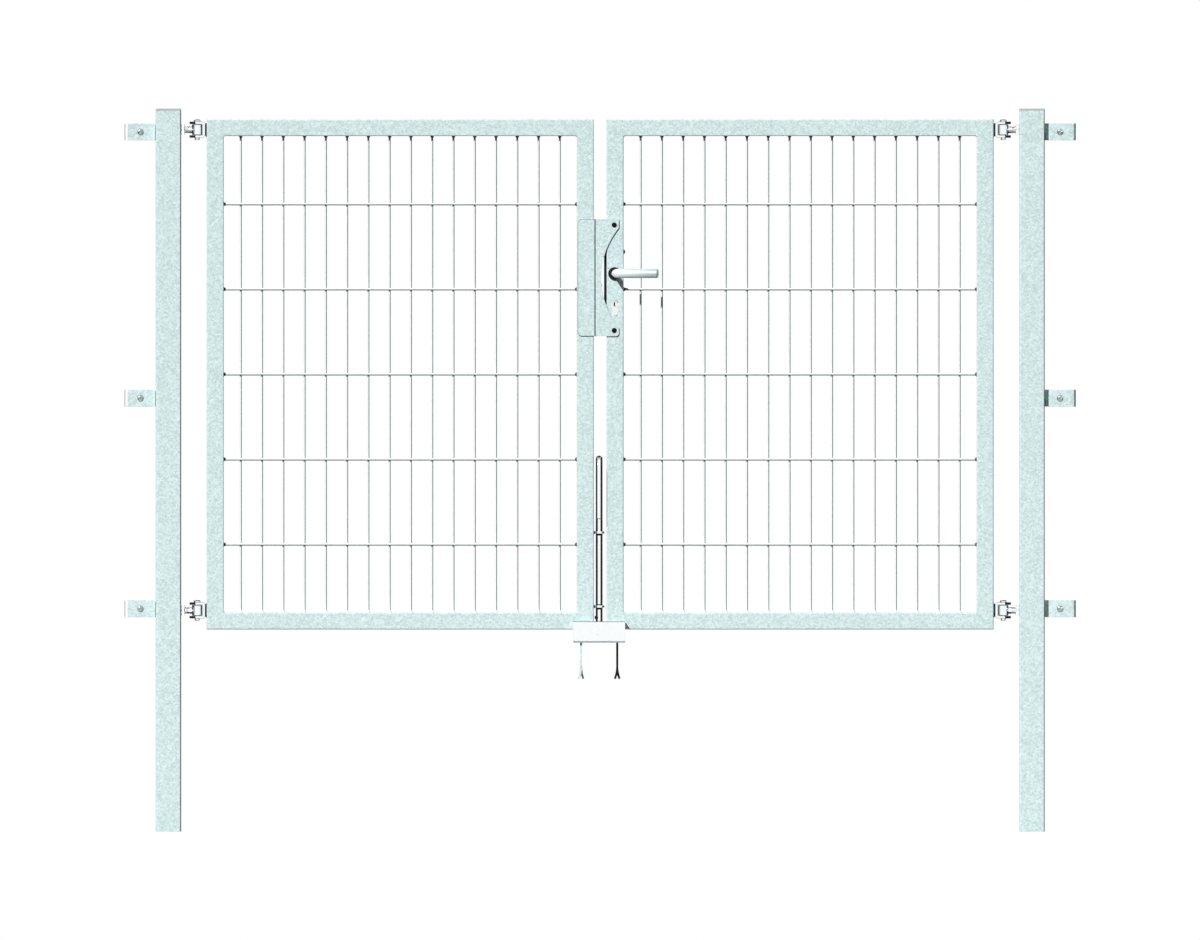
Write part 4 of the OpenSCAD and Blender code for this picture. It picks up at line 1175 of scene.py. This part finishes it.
let_go()
bpy.ops.mesh.primitive_circle_add(vertices=56, radius=neck_radius, fill_type="NGON",
                                  location=(spindle_x, lever_high.y, spindle_z), rotation=(math.pi / 2, 0, 0))
open_up()
draw_out((0, -neck_long, 0))
here, turn_step, flare_turn = neck_radius, 5.5, 44
for i in range(round(lever_turn / turn_step)):
    bpy.ops.mesh.spin(steps=1, angle=-math.radians(turn_step), axis=(0, 0, 1),
                      center=(spindle_x + lever_bend, lever_high.y - neck_long, spindle_z))
    turned_by = math.radians((i + 1) * turn_step)
    there = min(lever_radius, neck_radius + (lever_radius - neck_radius) * (i + 1) * turn_step / flare_turn)
    middle = (spindle_x + lever_bend * (1 - math.cos(turned_by)),
              lever_high.y - neck_long - lever_bend * math.sin(turned_by), spindle_z)
    bpy.ops.transform.resize(value=(there / here,) * 3, center_override=middle)
    here = there
draw_out((grip * math.cos(lean), grip * math.sin(lean), 0))
close_up()
lever = named("lever_in_front")
end_x = bend_far + (grip - 0.002) * math.cos(lean) - lever_radius * 0.3
round_edges(lever, end_round, 6, lambda a, b: min(a.x, b.x) > end_x and abs((a - b).normalized().x) < 0.25)
round_edges(lever, 0.0005, 2, lambda a, b: min(a.y, b.y) > lever_high.y - hair)

satin_aluminium = plated_finish("satin_aluminium", (0.44, 0.58, 0.61), (0.52, 0.66, 0.69), 0.32,
                                (60.0, 900.0, 900.0), metallic=0.15, shine=0.12)
# Painted light: the lever is coloured near white at the neck and fades to its teal-grey towards the grip's end, as
# the light on it falls off.
tree = satin_aluminium.node_tree
along_grip = add_node(tree, "ShaderNodeSeparateXYZ", {0: tree.nodes.new("ShaderNodeTexCoord").outputs["Object"]})
skin = tree.nodes["Principled BSDF"].inputs["Base Color"]
painted_light_along_grip = stretched(tree, along_grip.outputs["X"], spindle_x + 0.005, lever_high.x - 0.015)
tree.links.new(mixed(tree, "RGBA", painted_light_along_grip, (0.90, 0.96, 0.98, 1), skin.links[0].from_socket), skin)
fit(mirrored(lever, "lever_behind", axis=1, about=0), "handle", "aluminium", satin_aluminium, "lever_back")
fit(lever, "handle", "aluminium", satin_aluminium, "lever_front")
hidden("spindle", bright_zinc)

# ---- Rod guides ----
# Two guides hold the drop rod in front of the left stile's edge: each a 5 mm plate with a round eye,
# welded on edge-first, then bright zinc plated.

guide_low, guide_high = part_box("rod_guides")
rod_low, rod_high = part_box("drop_rod")
guide_thick, guide_radius, rod_radius = 0.005, 0.012, 0.008
rod_x = guide_high.x - guide_radius
guide_z = [guide_low.z + guide_thick / 2, guide_high.z - guide_thick / 2]

guide = fuse(rod("eye", (rod_x, 0, guide_low.z), (rod_x, 0, guide_low.z + guide_thick), guide_radius, 64),
             block("tab", (guide_low.x, -rod_radius, guide_low.z), (rod_x, rod_radius, guide_low.z + guide_thick)))
drill(guide, rod("drill", (rod_x, 0, guide_low.z - 0.01), (rod_x, 0, guide_low.z + 0.02), rod_radius + 0.0001, 56))
deburr(guide, 0.0006, 2, 50)
guides = gather("rod_guide_plates", at_heights(guide, guide_z))
# Painted shade: the guides' bevelled edges, undersides and the sides of their eyes are coloured near black.
coat(guides, bright_zinc, worn_edge, lambda middle, normal: slants(normal) and abs(normal.z) > 0.15
     or normal.z < -0.98 or abs(normal.x) > 0.6 and middle.x > guide_low.x + 0.001)
fit(guides, "left_leaf", "bright_zinc", bright_zinc, "rod_guides")

weld_half, side_x, side_y, side_half = 0.007, guide_low.x + 0.001, -0.008, 0.0022
guide_welds = [weld_run("weld", (guide_low.x, -weld_half, z + over), (guide_low.x, weld_half, z + over), 0.0018)
               for z in guide_z for over in (-guide_thick / 2, guide_thick / 2)]
guide_welds += [weld_run("weld", (side_x, side_y, z - side_half), (side_x, side_y, z + side_half), 0.0024)
                for z in guide_z]
# Painted shade: these welds are coloured near black.
fit(gather("rod_guide_welds", guide_welds), "left_leaf", "galvanised", worn_edge)

# ---- Drop rod ----
# A 16 mm steel bar, chamfered at the tip and bent over at the top into a hairpin: its free leg is the handle.
# A short nose is welded under the lower guide and keeps the rod from being lifted out.

hairpin_radius = 0.020
hairpin_z = rod_high.z - rod_radius - hairpin_radius
leg_long, tip_tall = 0.121, 0.004
leg_low = hairpin_z - leg_long
nose_z, nose_radius = guide_z[0] - 0.0255, 0.004

let_go()
bpy.ops.mesh.primitive_circle_add(vertices=48, radius=rod_radius - tip_tall / 2, fill_type="NGON",
                                  location=(rod_x, 0, rod_low.z))
open_up()
draw_out((0, 0, tip_tall))
wider = rod_radius / (rod_radius - tip_tall / 2)
bpy.ops.transform.resize(value=(wider, wider, 1), center_override=(rod_x, 0, rod_low.z + tip_tall))
draw_out((0, 0, hairpin_z - rod_low.z - tip_tall))
bpy.ops.mesh.spin(steps=40, angle=-math.pi, axis=(1, 0, 0), center=(rod_x, -hairpin_radius, hairpin_z))
draw_out((0, 0, leg_low - hairpin_z))
close_up()
drop_rod = named("drop_rod_bar")
round_edges(drop_rod, 0.0012, 3, lambda a, b: a.y < -0.03 and max(a.z, b.z) < leg_low + hair)
reach = (rod_radius + 0.004) / math.sqrt(2)
nose = rod("nose", (rod_x, 0, nose_z), (rod_x - reach, -reach, nose_z), nose_radius, 32)
deburr(nose, 0.0008, 3, 60)
fuse(drop_rod, nose)
# Painted shadow and shade: the bar is coloured near black in short bands next to each guide, on its sides, on its
# undersides above the lower guide and on the nose below it.
painted_shadow_bands = [(z - guide_thick / 2 - 0.0047, z - guide_thick / 2) for z in guide_z]
painted_shadow_bands.append((guide_z[0] + guide_thick / 2 + 0.0005, guide_z[0] + guide_thick / 2 + 0.0030))
for height in [edge for band in painted_shadow_bands for edge in band]:
    open_up()
    bpy.ops.mesh.bisect(plane_co=(0, 0, height), plane_no=(0, 0, 1))
    bpy.ops.object.mode_set(mode="OBJECT")
coat(drop_rod, bright_zinc, worn_edge, lambda middle, normal: normal.x > 0.38 or normal.x < -0.5
     or any(low < middle.z < high for low, high in painted_shadow_bands)
     or normal.z < -0.2 and middle.z > guide_z[0]
     or (middle.x - rod_x) ** 2 + middle.y ** 2 > (rod_radius + 0.0002) ** 2 and middle.z < guide_z[0])
fit(drop_rod, "rod", "bright_zinc", bright_zinc, "drop_rod")

# ---- Ground stop ----
# A zinc-plated plate set in the concrete, with the hole that takes the rod. A folded hood on its front half stops
# both leaves and carries a low pan-head rivet. Two split anchors under it hold it in the concrete.

plate_low, plate_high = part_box("ground_plate")
hood_low, hood_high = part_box("ground_hood")
anchor_low, anchor_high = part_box("ground_anchors")
plate_thick, hood_bend = 0.004, 0.005

ground_plate = block("ground_plate_steel", plate_low, plate_high)
plate_hole, past = 0.013, 0.01
drill(ground_plate, rod("drill", (rod_x, 0, plate_low.z - past), (rod_x, 0, plate_high.z + past), plate_hole, 56))
deburr(ground_plate, 0.0005, 2, 50)
# Painted shade: the plate's edges are coloured dark.
coat(ground_plate, galvanised, painted_shade_zinc, lambda middle, normal: abs(normal.z) < 0.98)
fit(ground_plate, "posts", "galvanised", galvanised, "ground_plate")

rear_y, fold_z = hood_high.y - plate_thick / 2, hood_high.z - hood_bend
rivet_in, rivet_up = 0.0555, 0.0198
hood = bent_plate("hood_steel", (hood_low.x, rear_y, hood_low.z), (hood_high.x, rear_y, hood_low.z),
                  [(0, 0, fold_z - hood_low.z), ((hood_low.x, hood_high.y - hood_bend, fold_z), (1, 0, 0), 90),
                   (0, hood_low.y - hood_high.y + 2 * hood_bend, 0),
                   ((hood_low.x, hood_low.y + hood_bend, fold_z), (1, 0, 0), 90), (0, 0, hood_low.z - fold_z)],
                  plate_thick)
rivet = turned("rivet", [(-0.002, 0), (-0.002, 0.004), (0, 0.004), (0, 0.0084), (0.0004, 0.009), (0.0010, 0.0089),
                         (0.0016, 0.0080), (0.0019, 0.0060), (0.0020, 0)],
               (hood_low.x + rivet_in, hood_low.y, hood_low.z + rivet_up), (0, -1, 0), 40)
hood = gather("ground_hood_steel", [hood, rivet])
# The hood's flat top is coloured a darker grey, so that it throws less light onto the stiles; a strip along its
# top front edge is painted shade.
coat(hood, bright_zinc, painted_shade_zinc, lambda middle, normal: normal.z > 0.995)
coat(hood, bright_zinc, painted_deep_shade_zinc, lambda middle, normal: 0.75 < normal.z < 0.995 and normal.y < 0
     and middle.z > hood_high.z - 0.003)
fit(hood, "posts", "bright_zinc", bright_zinc, "ground_hood")

anchor_thick, anchor_wide, splay_radius, splay, anchor_in, split_tall = 0.005, 0.025, 0.080, 21.25, 0.0087, 0.0299
split_z = plate_low.z - (anchor_high.z - anchor_low.z) + split_tall
anchors = []
for x, y in ((anchor_low.x + anchor_in, anchor_low.y), (anchor_high.x - anchor_in, anchor_high.y - anchor_wide)):
    anchors.append(block("strip", (x - anchor_thick / 2, y, split_z),
                         (x + anchor_thick / 2, y + anchor_wide, plate_low.z)))
    for half, way in ((0, -1), (1, 1)):
        start_y = y + half * anchor_wide / 2
        bend = (x + way * splay_radius, y, split_z), (0, 1, 0), -way * splay
        anchors.append(bent_plate("tail", (x, start_y, split_z + 0.001),
                                  (x, start_y + anchor_wide / 2, split_z + 0.001), [(0, 0, -0.001), bend],
                                  anchor_thick, smooth_edge=0.0004))
anchors = gather("split_anchors", anchors)
# Painted shadow: the right anchor, in the plate's shadow, is coloured near black.
painted_shadow_steel = moulded_finish("painted_shadow_steel", (0.006, 0.007, 0.007), (0.016, 0.018, 0.018), 0.5, 0.8, 500.0,
                              0.0003, 0.1)
coat(anchors, galvanised, painted_shadow_steel, lambda middle, normal: middle.x > (anchor_low.x + anchor_high.x) / 2)
fit(anchors, "posts", "galvanised", galvanised, "ground_anchors")

stop_welds = [weld_run("weld", (x, hood_high.y, plate_high.z), (x + 0.03, hood_high.y, plate_high.z), 0.0024)
              for x in (hood_low.x + 0.008, hood_high.x - 0.038)]
fit(gather("ground_stop_welds", stop_welds), "posts", "bright_zinc", bright_zinc)
